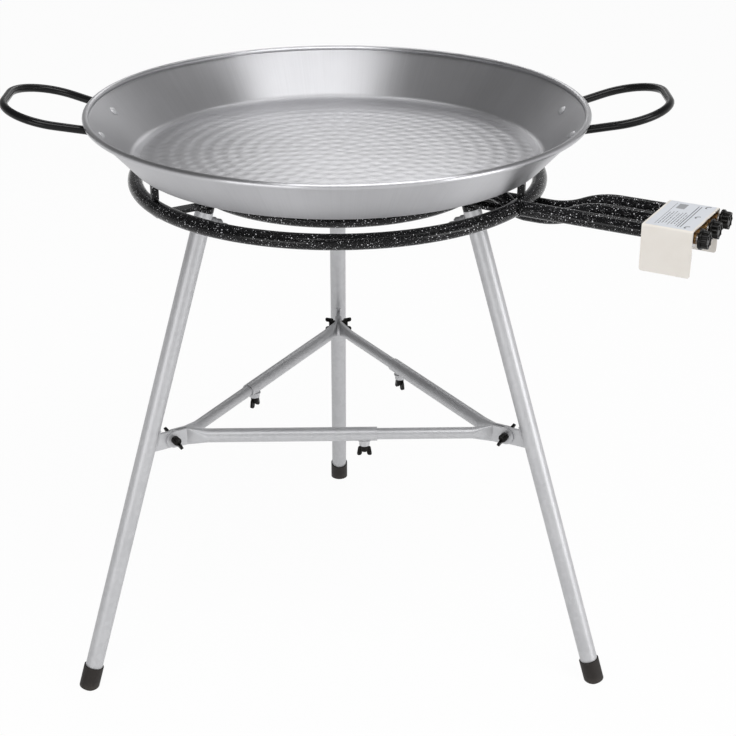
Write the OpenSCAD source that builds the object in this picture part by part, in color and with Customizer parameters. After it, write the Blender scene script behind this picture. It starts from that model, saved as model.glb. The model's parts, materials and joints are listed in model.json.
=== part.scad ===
// Three-ring gas paella burner on a braced tripod, with its pan on top.
// The floor is z = 0, +X runs along the gas tubes to the taps and +Z is up.

/* [Tripod] */
// Radius of the circle where the leg axes meet the floor
leg_floor_r = 428; // [400:1:450]
// Lean of each leg from upright, in degrees
leg_lean = 17.5; // [16:0.5:18.5]
// Outside diameter of the leg tube
leg_d = 25; // [22:0.5:28]
// Wall of the leg tube
leg_wall = 1.5; // [1:0.1:2]
// Gap from the arm down to the top of the leg, on the leg's axis
leg_drop = 6; // [6:0.5:14]
// Length of the burner's stub inside the leg
stub_len = 45; // [35:1:60]
// Length of the rubber foot along the leg
foot_len = 36; // [28:1:50]
// Rubber around the end of the leg
foot_wall = 1.8; // [1.2:0.1:3]
// Rubber under the end of the leg
foot_sole = 8; // [7:0.5:14]
// Radius of the foot's lower edge
foot_round = 3; // [1:0.5:4]

/* [Struts] */
// Height of the bolts that hold the struts
strut_z = 365; // [320:1:420]
// Distance from the leg's axis in to the strut bolt
tab_reach = 40; // [34:1:50]
// Thickness of the tab on the leg
tab_t = 4; // [3:0.5:6]
// Height of the tab and of the flattened strut ends
tab_h = 25; // [20:1:30]
// Outside diameter of the outer strut tube
strut_d = 20; // [18:0.5:24]
// Wall of both strut tubes
strut_wall = 1.5; // [1:0.1:2]
// Length from the strut bolt to the bend of the flattened end
strut_flat_len = 22; // [18:1:30]
// Length over which the flattened end grows round
strut_taper_len = 28; // [20:1:40]
// Length of the outer strut tube from its bend
strut_outer_len = 268; // [230:1:300]
// Length of inner strut tube that lies in the outer one
strut_lap = 90; // [70:1:120]
// Distance from the clamp screw to the end of the outer tube
clamp_inset = 18; // [14:1:40]

/* [Wing screws] */
// Diameter of the screw shanks
screw_d = 8; // [6:0.5:10]
// Width across both wings
wing_span = 22; // [20:1:40]
// Height of a wing above the hub's seat
wing_h = 16; // [14:1:24]
// Thickness of a wing
wing_t = 4.5; // [3:0.5:6]
// Diameter of the hub between the wings
hub_d = 12; // [11:0.5:18]
// Height of the hub
hub_h = 9; // [6:0.5:12]
// Turn of the wings at the strut joints from level, in degrees
joint_wing_turn = 68; // [0:1:180]
// Diameter of the welded nut that takes a clamp screw
boss_d = 15; // [13:0.5:20]
// Height of that nut above its tube
boss_h = 7; // [5:0.5:12]
// Distance from the leg's top down to its clamp screw
leg_screw_drop = 13; // [12:1:30]

/* [Burner rings] */
// Height of the plane of the three rings
ring_z = 712.5; // [680:0.5:740]
// Outside diameter of the ring tube
ring_d = 21; // [19:0.5:24]
// Wall of the rings and the feed tubes
ring_wall = 2; // [1.5:0.1:2.5]
// Radius of the outer ring's centre line
outer_ring_r = 283; // [270:1:300]
// Radius of the middle ring's centre line
middle_ring_r = 200; // [185:1:205]
// Radius of the inner ring's centre line
inner_ring_r = 105; // [100:1:115]
// Diameter of a flame port
port_d = 2.6; // [1.5:0.1:3]
// Spacing of the flame ports along a ring
port_pitch = 36; // [30:1:45]
// Lean of the flame ports towards the burner's axis, in degrees
port_lean = 25; // [10:1:40]

/* [Burner frame] */
// Width of a radial arm
arm_w = 18; // [16:1:25]
// Thickness of a radial arm
arm_t = 5; // [4:0.5:8]
// Depth of the seats for the rings in an arm
arm_seat = 1.5; // [1:0.1:2.5]
// Length of arm past the inner ring
arm_over = 8; // [4:0.5:12]
// Height of the pan above the crown of the rings
pan_gap = 20; // [14:0.5:30]
// Radial width of a pan post
post_w = 10; // [8:0.5:14]
// Thickness of a pan post
post_t = 5; // [4:0.5:8]
// Depth to which a post straddles the outer ring
post_seat = 5; // [3:0.5:8]

/* [Gas feed] */
// Outside diameter of the feed tubes
feed_d = 20; // [17:0.5:20.5]
// Spacing of the three feed tubes and taps
feed_pitch = 42.5; // [40:0.5:50]
// Gap between a feed tube and the leg beside it
feed_leg_gap = 2.5; // [2:0.5:6]
// Gap between the outer ring and a feed tube below it
feed_dip_gap = 1.5; // [1:0.5:5]
// Bend radius where a feed tube dips under the outer ring
feed_dip_r = 120; // [60:1:130]
// Bend radius where it rises to its own ring
feed_rise_r = 45; // [40:1:55]
// Straight length of feed tube before a ring
feed_lead = 2; // [1:0.5:6]
// Distance from the burner's axis to the mouths of the feed tubes
mouth_x = 478; // [460:1:500]

/* [Valve cover] */
// Length of the cover along the tubes
cover_l = 68; // [60:1:80]
// Height of the cover
cover_h = 63; // [55:1:75]
// Sheet thickness of the cover
cover_t = 1.2; // [0.8:0.1:2]
// Gap between the cover and the tubes
cover_gap = 0.5; // [0.3:0.1:1]
// Length of feed tube under the cover
cover_lap = 17; // [12:1:25]
// Bend radius of the cover's edges, outside
cover_bend = 3; // [2.5:0.5:5]
// Radius of the free corners of the cover's sides
cover_round = 4; // [2:0.5:8]
// Plate thickness of the bracket under the cover
bracket_t = 3; // [2:0.5:4]
// Width of the bracket's bridge under the tubes
bridge_w = 14; // [12:1:16]

/* [Taps] */
// Outside diameter of the gas manifold
manifold_d = 18; // [16:0.5:20]
// Wall of the gas manifold
manifold_wall = 2; // [1.5:0.1:2.5]
// Gap from a tap body down to the manifold
manifold_gap = 3; // [2:0.5:5]
// Distance from the tube mouth to the back of a tap body
tap_back = 16; // [14:0.5:20]
// Diameter of a tap body
tap_d = 20; // [20:0.5:24]
// Length of a tap body
tap_l = 26; // [25:0.5:30]
// Diameter of the gland that carries the spindle
gland_d = 15; // [14:0.5:18]
// Length of the gland
gland_l = 11; // [9:0.5:14]
// Diameter of the neck between tap and manifold
neck_d = 12; // [10:0.5:14]
// Bore of the gas way through neck, plug and tap
gas_bore = 5; // [4:0.5:6]
// Large diameter of the tapered plug
plug_d = 14; // [12.5:0.5:15]
// Small diameter of the tapered plug
plug_tip_d = 11; // [10:0.5:12]
// Length of the tapered plug
plug_l = 20; // [19:0.5:22]
// Diameter of the spindle
spindle_d = 8; // [6:0.5:9]
// Thickness of the spindle's flat tang
tang_t = 3; // [2.5:0.5:4]
// Depth of the spindle's tang in the plug
tang_l = 5; // [4:0.5:6]
// Push travel of a knob
knob_push = 3; // [2:0.5:3.5]
// Diameter of the injector's nozzle
jet_d = 8; // [6:0.5:10]
// Bore of the injector
jet_bore = 1.4; // [0.8:0.1:2]
// Depth of the injector in the tube's mouth
jet_in = 6; // [4:0.5:10]
// Width across the flats of the injector's hexagon
jet_hex = 12; // [11:0.5:14]
// Length of the injector's hexagon
jet_hex_l = 6; // [4:0.5:8]

/* [Knobs] */
// Diameter of a knob's skirt
knob_d = 27; // [24:0.5:32]
// Diameter of a knob's grip
grip_d = 24; // [22:0.5:24]
// Length of a knob
knob_l = 12; // [11:0.5:16]
// Length of a knob's skirt
skirt_l = 4; // [3:0.5:5]
// Depth of the finger flutes
flute_in = 2; // [1:0.1:2.5]
// Radius of the finger flutes
flute_r = 5; // [4:0.5:6]
// Number of finger flutes
flutes = 8; // [6:1:10]
// Gap between a knob and its gland
knob_gap = 4; // [4:0.5:6]
// Front wall of a knob past its spindle
knob_wall = 3; // [2:0.5:4]

/* [Gas inlet] */
// Diameter of the threaded gas inlet
inlet_d = 20; // [16:0.5:22]
// Length of the threaded gas inlet
inlet_l = 14; // [10:0.5:20]
// Length of the inlet's collar
inlet_collar_l = 10; // [8:0.5:14]
// Width across the flats of the inlet's collar
inlet_hex = 22; // [20:0.5:26]

/* [Pan] */
// Outside radius of the pan over its rolled rim
pan_r = 350; // [335:1:370]
// Radius of the pan's base at its corner
pan_base_r = 288; // [286:1:295]
// Height of the pan
pan_h = 67; // [58:1:80]
// Sheet thickness of the pan
pan_t = 1.5; // [1:0.1:2]
// Corner radius between base and wall, outside
pan_corner_r = 12; // [6:1:14]
// Diameter of the rolled rim
rim_d = 9; // [7:0.5:10]
// Turn of the pan's handles from the gas tubes, in degrees
pan_turn = 29; // [20:1:40]

/* [Pan handles] */
// Diameter of the handle bar
handle_bar_d = 11.5; // [9:0.5:12]
// Reach of a handle from its rivets to the middle of its grip
handle_reach = 138; // [130:1:150]
// Half the distance between the two rivets of a handle
handle_rivet_y = 61; // [55:1:65]
// Radius of a handle's outer corners
handle_corner_r = 62; // [50:1:64]
// Spread of a handle's legs, in degrees
handle_flare = 17; // [14:0.5:20]
// Rise of a handle from level, in degrees
handle_rise = 13.5; // [10:0.5:16]
// Gap between a handle's bar and the rim above it
handle_rim_gap = 0.8; // [0.5:0.1:2]
// Depth of the rivets below the top of the rim
rivet_drop = 26; // [25:0.5:28]
// Diameter of a rivet's shank
rivet_d = 7; // [5:0.5:8]
// Diameter of a rivet's head
rivet_head_d = 14; // [12:0.5:16]
// Height of a rivet's domed head
rivet_head_h = 3; // [2:0.5:4]
// Diameter of the flattened pad at a handle's end
pad_d = 24; // [20:0.5:26]
// Thickness of that pad
pad_t = 5; // [4:0.5:6]

/* [Fits] */
// Gap all round a tube that slides in another tube
slide_fit = 0.3; // [0.2:0.05:0.4]
// Gap all round a shank that turns in its hole
turn_fit = 0.08; // [0.05:0.01:0.1]
// Gap between pieces that are welded or pressed together
seat_fit = 0.05; // [0.02:0.01:0.1]
// Gap between a clamp screw and the tube that it holds
clamp_fit = 0.3; // [0.2:0.05:0.5]

/* [Hidden] */
$fn = 72;
hull_fn = 32;
sweep_sides = 20;
sweep_steps = 5;
overrun = 5;
stations = 3;
station_turn = 360 / stations;
chord_turn = 150;
hexagon = 6;
port_sides = 8;

// Radii
leg_r = leg_d / 2;
leg_bore_r = leg_r - leg_wall;
ring_r = ring_d / 2;
feed_r = feed_d / 2;
feed_bore_r = feed_r - ring_wall;
strut_r = strut_d / 2;
strut_bore_r = strut_r - strut_wall;
inner_strut_r = strut_bore_r - slide_fit;
screw_r = screw_d / 2;
screw_hole_r = screw_r + turn_fit;
manifold_r = manifold_d / 2;
tap_r = tap_d / 2;
handle_bar_r = handle_bar_d / 2;

// Heights
ring_bottom_z = ring_z - ring_r;
ring_top_z = ring_z + ring_r;
arm_top_z = ring_bottom_z + arm_seat;
arm_bottom_z = arm_top_z - arm_t;
pan_z = ring_top_z + pan_gap;
cover_top_z = ring_z + feed_r + cover_gap + cover_t;
manifold_z = ring_z - tap_r - manifold_gap - manifold_r;
bracket_z = ring_z - feed_r + arm_seat;

// Leg lengths from the floor, measured along the leg
leg_top = (arm_bottom_z - leg_drop) / cos(leg_lean);
leg_foot_end = foot_sole / cos(leg_lean);
leg_screw_at = leg_top - leg_screw_drop;
foot_r = leg_r + seat_fit + foot_wall;
foot_under = foot_r * tan(leg_lean) / 2;

// Strut joint in a leg's upright plane
tab_x = leg_floor_r - strut_z * tan(leg_lean) - tab_reach;
tab_end_r = tab_h / 2;
strut_flat_t = 2 * strut_wall;
strut_side = tab_t / 2 + strut_flat_t / 2;
bend_x = tab_x - strut_flat_len;
strut_span = 2 * (bend_x * cos(chord_turn - station_turn) - strut_side * sin(chord_turn - station_turn));
strut_inner_len = strut_span - strut_outer_len + strut_lap;
strut_clamp_at = strut_outer_len - clamp_inset;
joint_half = tab_t / 2 + strut_flat_t;

// Gas train
feed_y = leg_r + feed_leg_gap + feed_r;
feed_drop = ring_d / 2 + feed_dip_gap + feed_r;
cover_x = mouth_x - cover_lap;
cover_in_w = 2 * (feed_pitch + feed_r + cover_gap);
cover_w = cover_in_w + 2 * cover_t;
tap_x = mouth_x + tap_back;
gland_x = tap_x + tap_l;
gland_end_x = gland_x + gland_l;
knob_x = gland_end_x + knob_gap;
plug_x = gland_x - plug_l;
manifold_x = tap_x + tap_l / 2;
inlet_y = feed_y - feed_pitch / 2;
inlet_end_z = manifold_z - manifold_r - inlet_collar_l - inlet_l;
ear_drop = manifold_r + bracket_t;

// Pan outline
rim_r = rim_d / 2;
pan_wall_turn = atan2(pan_h - rim_r, pan_r - rim_r - pan_base_r);
pan_corner_cut = pan_corner_r * tan(pan_wall_turn / 2);
pan_corner_x = pan_base_r - pan_corner_cut;
pan_wall_l = norm([pan_h - rim_r, pan_r - rim_r - pan_base_r]) - pan_corner_cut;
rivet_z = pan_h - rivet_drop;
rivet_wall_r = pan_base_r + rivet_z / tan(pan_wall_turn);
rivet_seat = rivet_head_d * rivet_head_d / (8 * rivet_wall_r) + seat_fit;
rivet_turn = asin(handle_rivet_y / rivet_wall_r);
handle_x = rivet_wall_r * cos(rivet_turn) + pad_t / 2 * sin(pan_wall_turn);
handle_y = handle_rivet_y + pad_t / 2 * sin(pan_wall_turn) * sin(rivet_turn);
handle_rim_x = sqrt((pan_r - rim_r) * (pan_r - rim_r) - handle_y * handle_y) - handle_x;
handle_under_rim = (rim_r + handle_bar_r + handle_rim_gap) / cos(handle_rise);
handle_z = pan_z + pan_h - rim_r - handle_under_rim - handle_rim_x * tan(handle_rise);
corner_x = handle_reach - handle_corner_r;
corner_y = handle_y + corner_x * tan(handle_flare) - handle_corner_r / cos(handle_flare);

// Place of the burner's axis, so that the origin is under the middle of the part
reach_front = knob_x + knob_l;
handle_out = cos(pan_turn) * cos(handle_rise);
handle_side = sin(pan_turn);
reach_back = cos(pan_turn) * handle_x + handle_out * corner_x + handle_side * corner_y
    + handle_corner_r * norm([handle_out, handle_side]) + handle_bar_r;
axis_x = (reach_back - reach_front) / 2;

// Colours
zinc = [0.74, 0.75, 0.77];
enamel = [0.10, 0.10, 0.11];
steel = [0.66, 0.65, 0.64];
brass = [0.72, 0.55, 0.26];
ivory = [0.91, 0.88, 0.84];
rubber = [0.13, 0.11, 0.10];
plastic = [0.07, 0.07, 0.07];

// Frames

// Puts its children on the burner's axis.
module on_axis() {
    translate([axis_x, 0, 0])
        children();
}

// Puts its children in the upright plane of leg k, with +X away from the axis.
module at_station(k) {
    on_axis()
        rotate([0, 0, k * station_turn])
            children();
}

// Puts its children on leg k, with +Z up along the leg from the floor.
module on_leg(k) {
    at_station(k)
        translate([leg_floor_r, 0, 0])
            rotate([0, -leg_lean, 0])
                children();
}

// Puts its children on tap k, with +Z along +X from the burner's axis.
module on_tap(k) {
    on_axis()
        translate([0, tap_y(k), ring_z])
            rotate([0, 90, 0])
                children();
}

// Puts its children at the bend of a strut end on leg k, with +Z along the strut.
module on_strut(k, side) {
    at_station(k)
        translate([bend_x, side * strut_side, strut_z])
            rotate([0, 0, side * chord_turn])
                rotate([0, 90, 0])
                    children();
}

// Puts its children at the clamp screw of leg k, with +Z into the leg from the wing side.
module on_leg_screw(k) {
    on_leg(k)
        translate([0, 0, leg_screw_at])
            rotate([0, 90, 0])
                children();
}

// Puts its children at the clamp screw of strut k, with +Z up towards the strut's axis.
module on_strut_screw(k) {
    on_strut(k, 1)
        translate([0, 0, strut_clamp_at])
            rotate([0, -90, 0])
                children();
}

// Puts its children on the wall of the pan at a rivet, with +Z out of the wall.
module on_rivet(turn, side) {
    on_axis()
        rotate([0, 0, turn + side * rivet_turn])
            translate([rivet_wall_r, 0, pan_z + rivet_z])
                rotate([0, 90 + 90 - pan_wall_turn, 0])
                    children();
}

function tap_y(k) = feed_y + (k - 1) * feed_pitch;
function ring_x(r, y) = sqrt(r * r - y * y);

// Shared shapes

module tube(r, bore_r, l) {
    difference() {
        cylinder(r = r, h = l);
        translate([0, 0, -overrun])
            cylinder(r = bore_r, h = l + 2 * overrun);
    }
}

// Hexagonal bar, sized across its flats.
module hex_bar(flats, l) {
    cylinder(d = flats / cos(180 / hexagon), h = l, $fn = hexagon);
}

// Solid ring of round section in the plane of the burner.
module torus(ring, r) {
    translate([0, 0, ring_z])
        rotate_extrude()
            translate([ring, 0])
                circle(r = r);
}

// Burner ring: a hollow tube bent round, with the hole for its feed tube and its flame ports.
module burner_ring(ring, k) {
    ports = floor(2 * PI * ring / port_pitch);
    color(enamel)
        on_axis()
            difference() {
                translate([0, 0, ring_z])
                    rotate_extrude()
                        translate([ring, 0])
                            difference() {
                                circle(r = ring_r);
                                circle(r = ring_r - ring_wall);
                            }
                translate([ring_x(ring, tap_y(k)), tap_y(k), ring_z])
                    rotate([0, 90, 0])
                        cylinder(r = feed_bore_r, h = ring_d + overrun);
                for (i = [0 : ports - 1])
                    rotate([0, 0, (i + 1 / 2) * 360 / ports])
                        translate([ring, 0, ring_z])
                            rotate([0, -port_lean, 0])
                                cylinder(d = port_d, h = ring_r + overrun, $fn = port_sides);
            }
}

// Points of one round section: p is [across, up, turn] in the path's plane, where turn leans the section.
function section(p, r) = [
    for (i = [0 : sweep_sides - 1])
        let (a = i * 360 / sweep_sides)
        [p[0] - r * cos(a) * sin(p[2]), r * sin(a), p[1] + r * cos(a) * cos(p[2])]
];

// Triangles between sections first and first + 1 of a sweep, seen from outside or from inside.
function sweep_band(first, inside) = [
    for (i = [0 : sweep_sides - 1])
        let (
            n = (i + 1) % sweep_sides,
            a = first * sweep_sides + i,
            b = first * sweep_sides + n,
            c = a + sweep_sides,
            d = b + sweep_sides
        )
        each inside ? [[a, b, c], [b, d, c]] : [[a, c, b], [b, c, d]]
];

// Triangles of the ring between two sections that lie in one plane.
function sweep_rim(outer, inner, last) = [
    for (i = [0 : sweep_sides - 1])
        let (
            n = (i + 1) % sweep_sides,
            a = outer * sweep_sides + i,
            b = outer * sweep_sides + n,
            c = inner * sweep_sides + i,
            d = inner * sweep_sides + n
        )
        each last ? [[a, c, b], [b, c, d]] : [[a, b, c], [b, d, c]]
];

// Round bar swept along a flat path.
module swept_bar(path, r) {
    count = len(path);
    polyhedron(
        points = [for (p = path) each section(p, r)],
        faces = concat(
            [[for (i = [0 : sweep_sides - 1]) i]],
            [for (i = [0 : count - 2]) each sweep_band(i, false)],
            [[for (i = [sweep_sides - 1 : -1 : 0]) (count - 1) * sweep_sides + i]]
        )
    );
}

// Round tube swept along a flat path.
module swept_tube(path, r, bore_r) {
    count = len(path);
    polyhedron(
        points = concat([for (p = path) each section(p, r)], [for (p = path) each section(p, bore_r)]),
        faces = concat(
            [for (i = [0 : count - 2]) each sweep_band(i, false)],
            [for (i = [count : 2 * count - 2]) each sweep_band(i, true)],
            sweep_rim(0, count, false),
            sweep_rim(count - 1, 2 * count - 1, true)
        )
    );
}

// Slope in the middle of an S with bend radius r, and the length of that S.
function feed_turn(r) = acos(1 - feed_drop / (2 * r));
function feed_run(r) = 2 * r * sin(feed_turn(r));

// Half of a feed tube's S, from x and z at its level end; side is 1 above the slope and -1 below it.
function feed_arc(r, x, z, side, slope, ahead) = [
    for (i = [0 : sweep_steps])
        let (a = feed_turn(r) * (ahead ? i : sweep_steps - i) / sweep_steps)
        [
            x - (ahead ? 1 : -1) * r * sin(a),
            z - side * r * (1 - cos(a)),
            slope * a
        ]
];

function without_first(list) = [for (i = [1 : len(list) - 1]) list[i]];

// Path of a feed tube that dips under the outer ring and rises to its own ring.
function dipped_path(ring, k) =
    let (
        end_x = ring_x(ring, tap_y(k)),
        dip_x = outer_ring_r + ring_r + feed_leg_gap,
        rise_x = end_x + ring_d + feed_lead,
        low_z = ring_z - feed_drop
    )
    concat(
        [[mouth_x, ring_z, 0]],
        feed_arc(feed_dip_r, dip_x + feed_run(feed_dip_r), ring_z, 1, 1, true),
        without_first(feed_arc(feed_dip_r, dip_x, low_z, -1, 1, false)),
        feed_arc(feed_rise_r, rise_x + feed_run(feed_rise_r), low_z, -1, -1, true),
        without_first(feed_arc(feed_rise_r, rise_x, ring_z, 1, -1, false)),
        [[end_x, ring_z, 0]]
    );

// Round bar along the straight feed tube of the outer ring.
module straight_bar(k, r, over) {
    end_x = ring_x(outer_ring_r, tap_y(k));
    translate([end_x, tap_y(k), ring_z])
        rotate([0, 90, 0])
            cylinder(r = r, h = mouth_x - end_x + over);
}

// Flat two-lobed wing grip on +Z, with its seat at z = 0.
module wing_grip() {
    lobe_r = (wing_span - hub_d) / 4 + wing_t / 2;
    cylinder(d = hub_d, h = hub_h);
    translate([0, wing_t / 2, 0])
        rotate([90, 0, 0])
            linear_extrude(wing_t) {
                for (side = [-1, 1]) {
                    translate([side * (wing_span / 2 - lobe_r), wing_h - lobe_r])
                        circle(r = lobe_r);
                    polygon([
                        [0, 0],
                        [side * hub_d / 2, 0],
                        [side * wing_span / 2, wing_h - lobe_r],
                        [side * (wing_span / 2 - 2 * lobe_r), wing_h - lobe_r],
                        [0, hub_h]
                    ]);
                }
            }
}

// Sub-parts of the burner

module outer_ring() {
    burner_ring(outer_ring_r, 0);
}

module middle_ring() {
    burner_ring(middle_ring_r, 1);
}

module inner_ring() {
    burner_ring(inner_ring_r, 2);
}

module outer_feed_tube() {
    color(enamel)
        on_axis()
            difference() {
                straight_bar(0, feed_r, 0);
                straight_bar(0, feed_bore_r, overrun);
                torus(outer_ring_r, ring_r + seat_fit);
            }
}

module dipped_feed_tube(ring, k) {
    color(enamel)
        on_axis()
            difference() {
                translate([0, tap_y(k), 0])
                    swept_tube(dipped_path(ring, k), feed_r, feed_bore_r);
                torus(ring, ring_r + seat_fit);
            }
}

module middle_feed_tube() {
    dipped_feed_tube(middle_ring_r, 1);
}

module inner_feed_tube() {
    dipped_feed_tube(inner_ring_r, 2);
}

// Flat bar under the three rings, with a shallow seat for each.
module arm(k) {
    inner_end = inner_ring_r - arm_over;
    color(enamel)
        at_station(k)
            difference() {
                translate([inner_end, -arm_w / 2, arm_bottom_z])
                    cube([outer_ring_r - inner_end, arm_w, arm_t]);
                for (ring = [outer_ring_r, middle_ring_r, inner_ring_r])
                    torus(ring, ring_r + seat_fit);
            }
}

// Leaning stub under an arm, with a shoulder for the end of the leg.
module leg_stub(k) {
    color(enamel)
        difference() {
            on_leg(k) {
                translate([0, 0, leg_top - stub_len])
                    cylinder(r = leg_bore_r - slide_fit, h = stub_len + leg_drop);
                translate([0, 0, leg_top + seat_fit])
                    cylinder(r = leg_r, h = leg_drop + leg_d);
            }
            at_station(k)
                translate([0, -leg_d, arm_bottom_z])
                    cube([leg_floor_r, 2 * leg_d, leg_drop + 2 * leg_d]);
        }
}

// Flat posts on the outer ring, which reach in under the flat of the pan's base.
module pan_posts() {
    post_out_r = outer_ring_r + post_w / 2 - ring_wall;
    post_in_r = min(post_out_r - post_w, pan_base_r - pan_corner_r);
    color(enamel)
        for (k = [0 : stations - 1])
            at_station(k)
                difference() {
                    translate([post_in_r, -post_t / 2, ring_top_z - post_seat])
                        cube([post_out_r - post_in_r, post_t, pan_gap + post_seat]);
                    torus(outer_ring_r, ring_r + seat_fit);
                }
}

// Bridge under the tube mouths with an ear at each side for the manifold.
module manifold_bracket() {
    ear_x = cover_x + cover_gap;
    ear_l = manifold_x + manifold_r + bracket_t - ear_x;
    ear_z = manifold_z - ear_drop;
    color(enamel)
        on_axis()
            difference() {
                translate([ear_x, tap_y(1) - cover_in_w / 2, 0]) {
                    translate([0, 0, bracket_z - bracket_t])
                        cube([bridge_w, cover_in_w, bracket_t]);
                    for (y = [0, cover_in_w - bracket_t])
                        translate([0, y, ear_z])
                            cube([ear_l, bracket_t, bracket_z - ear_z - arm_seat]);
                }
                for (k = [0 : stations - 1])
                    translate([0, tap_y(k), ring_z])
                        rotate([0, 90, 0])
                            cylinder(r = feed_r + seat_fit, h = mouth_x + cover_l);
                manifold_way(manifold_r + seat_fit, overrun);
            }
}

// Round bar along the manifold, from ear to ear.
module manifold_way(r, over) {
    translate([manifold_x, tap_y(1) - cover_in_w / 2 - over, manifold_z])
        rotate([-90, 0, 0])
            cylinder(r = r, h = cover_in_w + 2 * over);
}

// Closed gas pipe with a threaded inlet on its underside.
module gas_manifold() {
    color(zinc)
        on_axis()
            difference() {
                union() {
                    manifold_way(manifold_r, -cover_gap);
                    translate([manifold_x, inlet_y, inlet_end_z])
                        cylinder(d = inlet_d, h = inlet_l + inlet_collar_l);
                    translate([manifold_x, inlet_y, inlet_end_z + inlet_l])
                        hex_bar(inlet_hex, inlet_collar_l + manifold_wall);
                }
                manifold_way(manifold_r - manifold_wall, -cover_gap - manifold_wall);
                translate([manifold_x, inlet_y, inlet_end_z - overrun])
                    cylinder(r = inlet_d / 2 - 2 * manifold_wall, h = manifold_z - inlet_end_z + overrun);
                for (k = [0 : stations - 1])
                    translate([manifold_x, tap_y(k), manifold_z])
                        cylinder(d = gas_bore, h = manifold_d);
            }
}

// Bent sheet over the taps: a top and two sides, open at both ends and below.
module valve_cover() {
    half = cover_w / 2;
    color(ivory)
        on_axis()
            translate([cover_x, tap_y(1), cover_top_z])
                difference() {
                    rotate([90, 0, 90])
                        linear_extrude(cover_l)
                            difference() {
                                sheet_outline(half, cover_h, cover_bend);
                                translate([0, -cover_t])
                                    sheet_outline(half - cover_t, cover_h, cover_bend - cover_t);
                            }
                    for (end = [0, 1])
                        translate([end * cover_l, 0, -cover_h])
                            mirror([end, 0, 0])
                                rotate([90, 0, 0])
                                    translate([0, 0, -half - overrun])
                                        linear_extrude(cover_w + 2 * overrun)
                                            corner_waste(cover_round);
                }
}

// Upright rectangle under y = 0 with two rounded top corners.
module sheet_outline(half, h, r) {
    translate([-half, -h])
        square([2 * half, h - r]);
    translate([-half + r, -h])
        square([2 * (half - r), h]);
    for (side = [-1, 1])
        translate([side * (half - r), -r])
            circle(r = r);
}

// What a rounded corner takes off a square corner at the origin.
module corner_waste(r) {
    difference() {
        translate([-overrun, -overrun])
            square(r + overrun);
        translate([r, r])
            circle(r = r);
    }
}

// Brass body of tap k: chamber for the plug, gland for the spindle and neck to the manifold.
module tap_body(k) {
    color(brass)
        difference() {
            union() {
                on_tap(k) {
                    translate([0, 0, tap_x])
                        cylinder(r = tap_r, h = tap_l);
                    translate([0, 0, gland_x])
                        cylinder(d = gland_d, h = gland_l);
                }
                on_axis()
                    translate([manifold_x, tap_y(k), manifold_z])
                        cylinder(d = neck_d, h = ring_z - manifold_z);
            }
            on_tap(k) {
                translate([0, 0, -turn_fit])
                    plug_cone(turn_fit, plug_l + turn_fit);
                translate([0, 0, gland_x - overrun])
                    cylinder(r = spindle_d / 2 + turn_fit, h = gland_l + 2 * overrun);
                translate([0, 0, tap_x - overrun])
                    cylinder(d = gas_bore, h = tap_l);
            }
            on_axis() {
                translate([manifold_x, tap_y(k), manifold_z])
                    cylinder(d = gas_bore, h = ring_z - manifold_z);
                manifold_way(manifold_r + seat_fit, 0);
            }
        }
}

// Tapered body of length l along a tap's axis, grown by a gap.
module plug_cone(gap, l) {
    translate([0, 0, plug_x])
        cylinder(d1 = plug_tip_d + 2 * gap, d2 = plug_d + 2 * gap, h = l);
}

// Tapered plug of tap k, shut: a full gas way to one side, a fine one on top and the spindle's slot.
module tap_plug(k) {
    color(brass)
        on_tap(k)
            difference() {
                plug_cone(0, plug_l - turn_fit);
                translate([0, 0, plug_x - overrun])
                    cylinder(d = gas_bore, h = manifold_x + gas_bore / 2 - plug_x + overrun);
                translate([0, 0, manifold_x]) {
                    rotate([90, 0, 0])
                        cylinder(d = gas_bore, h = plug_d);
                    rotate([0, -90, 0])
                        cylinder(d = jet_bore, h = plug_d);
                }
                translate([-plug_d, -tang_t / 2 - turn_fit, gland_x - tang_l - knob_push - turn_fit])
                    cube([2 * plug_d, tang_t + 2 * turn_fit, plug_l]);
            }
}

// Spindle of tap k with a flat tang that slides in the plug's slot.
module tap_spindle(k) {
    tang_w = sqrt(spindle_d * spindle_d - tang_t * tang_t) - 2 * turn_fit;
    color(zinc)
        on_tap(k) {
            translate([-tang_w / 2, -tang_t / 2, gland_x - tang_l])
                cube([tang_w, tang_t, tang_l + knob_push + tang_t]);
            translate([0, 0, gland_x + knob_push + turn_fit])
                cylinder(r = spindle_d / 2, h = knob_x + knob_l - knob_wall - gland_x - knob_push - turn_fit);
        }
}

// Fluted knob of tap k with a skirt and a blind hole for the spindle.
module knob(k) {
    color(plastic)
        on_tap(k)
            translate([0, 0, knob_x])
                difference() {
                    union() {
                        cylinder(d = knob_d, h = skirt_l);
                        linear_extrude(knob_l)
                            difference() {
                                circle(d = grip_d);
                                for (i = [0 : flutes - 1])
                                    rotate((i + 1 / 2) * 360 / flutes)
                                        translate([grip_d / 2 + flute_r - flute_in, 0])
                                            circle(r = flute_r);
                            }
                    }
                    translate([0, 0, -overrun])
                        cylinder(r = spindle_d / 2 + seat_fit, h = knob_l - knob_wall + overrun);
                }
}

// Brass injector of tap k, screwed to the tap's back and reaching into the tube's mouth.
module injector(k) {
    color(brass)
        on_tap(k)
            difference() {
                union() {
                    translate([0, 0, mouth_x - jet_in])
                        cylinder(d = jet_d, h = jet_in + tap_back);
                    translate([0, 0, tap_x - jet_hex_l])
                        hex_bar(jet_hex, jet_hex_l);
                }
                translate([0, 0, mouth_x - jet_in - overrun])
                    cylinder(d = jet_bore, h = tap_back + jet_in + 2 * overrun);
                translate([0, 0, mouth_x])
                    cylinder(d = gas_bore, h = tap_back + overrun);
            }
}

// Sub-parts of the pan

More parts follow.
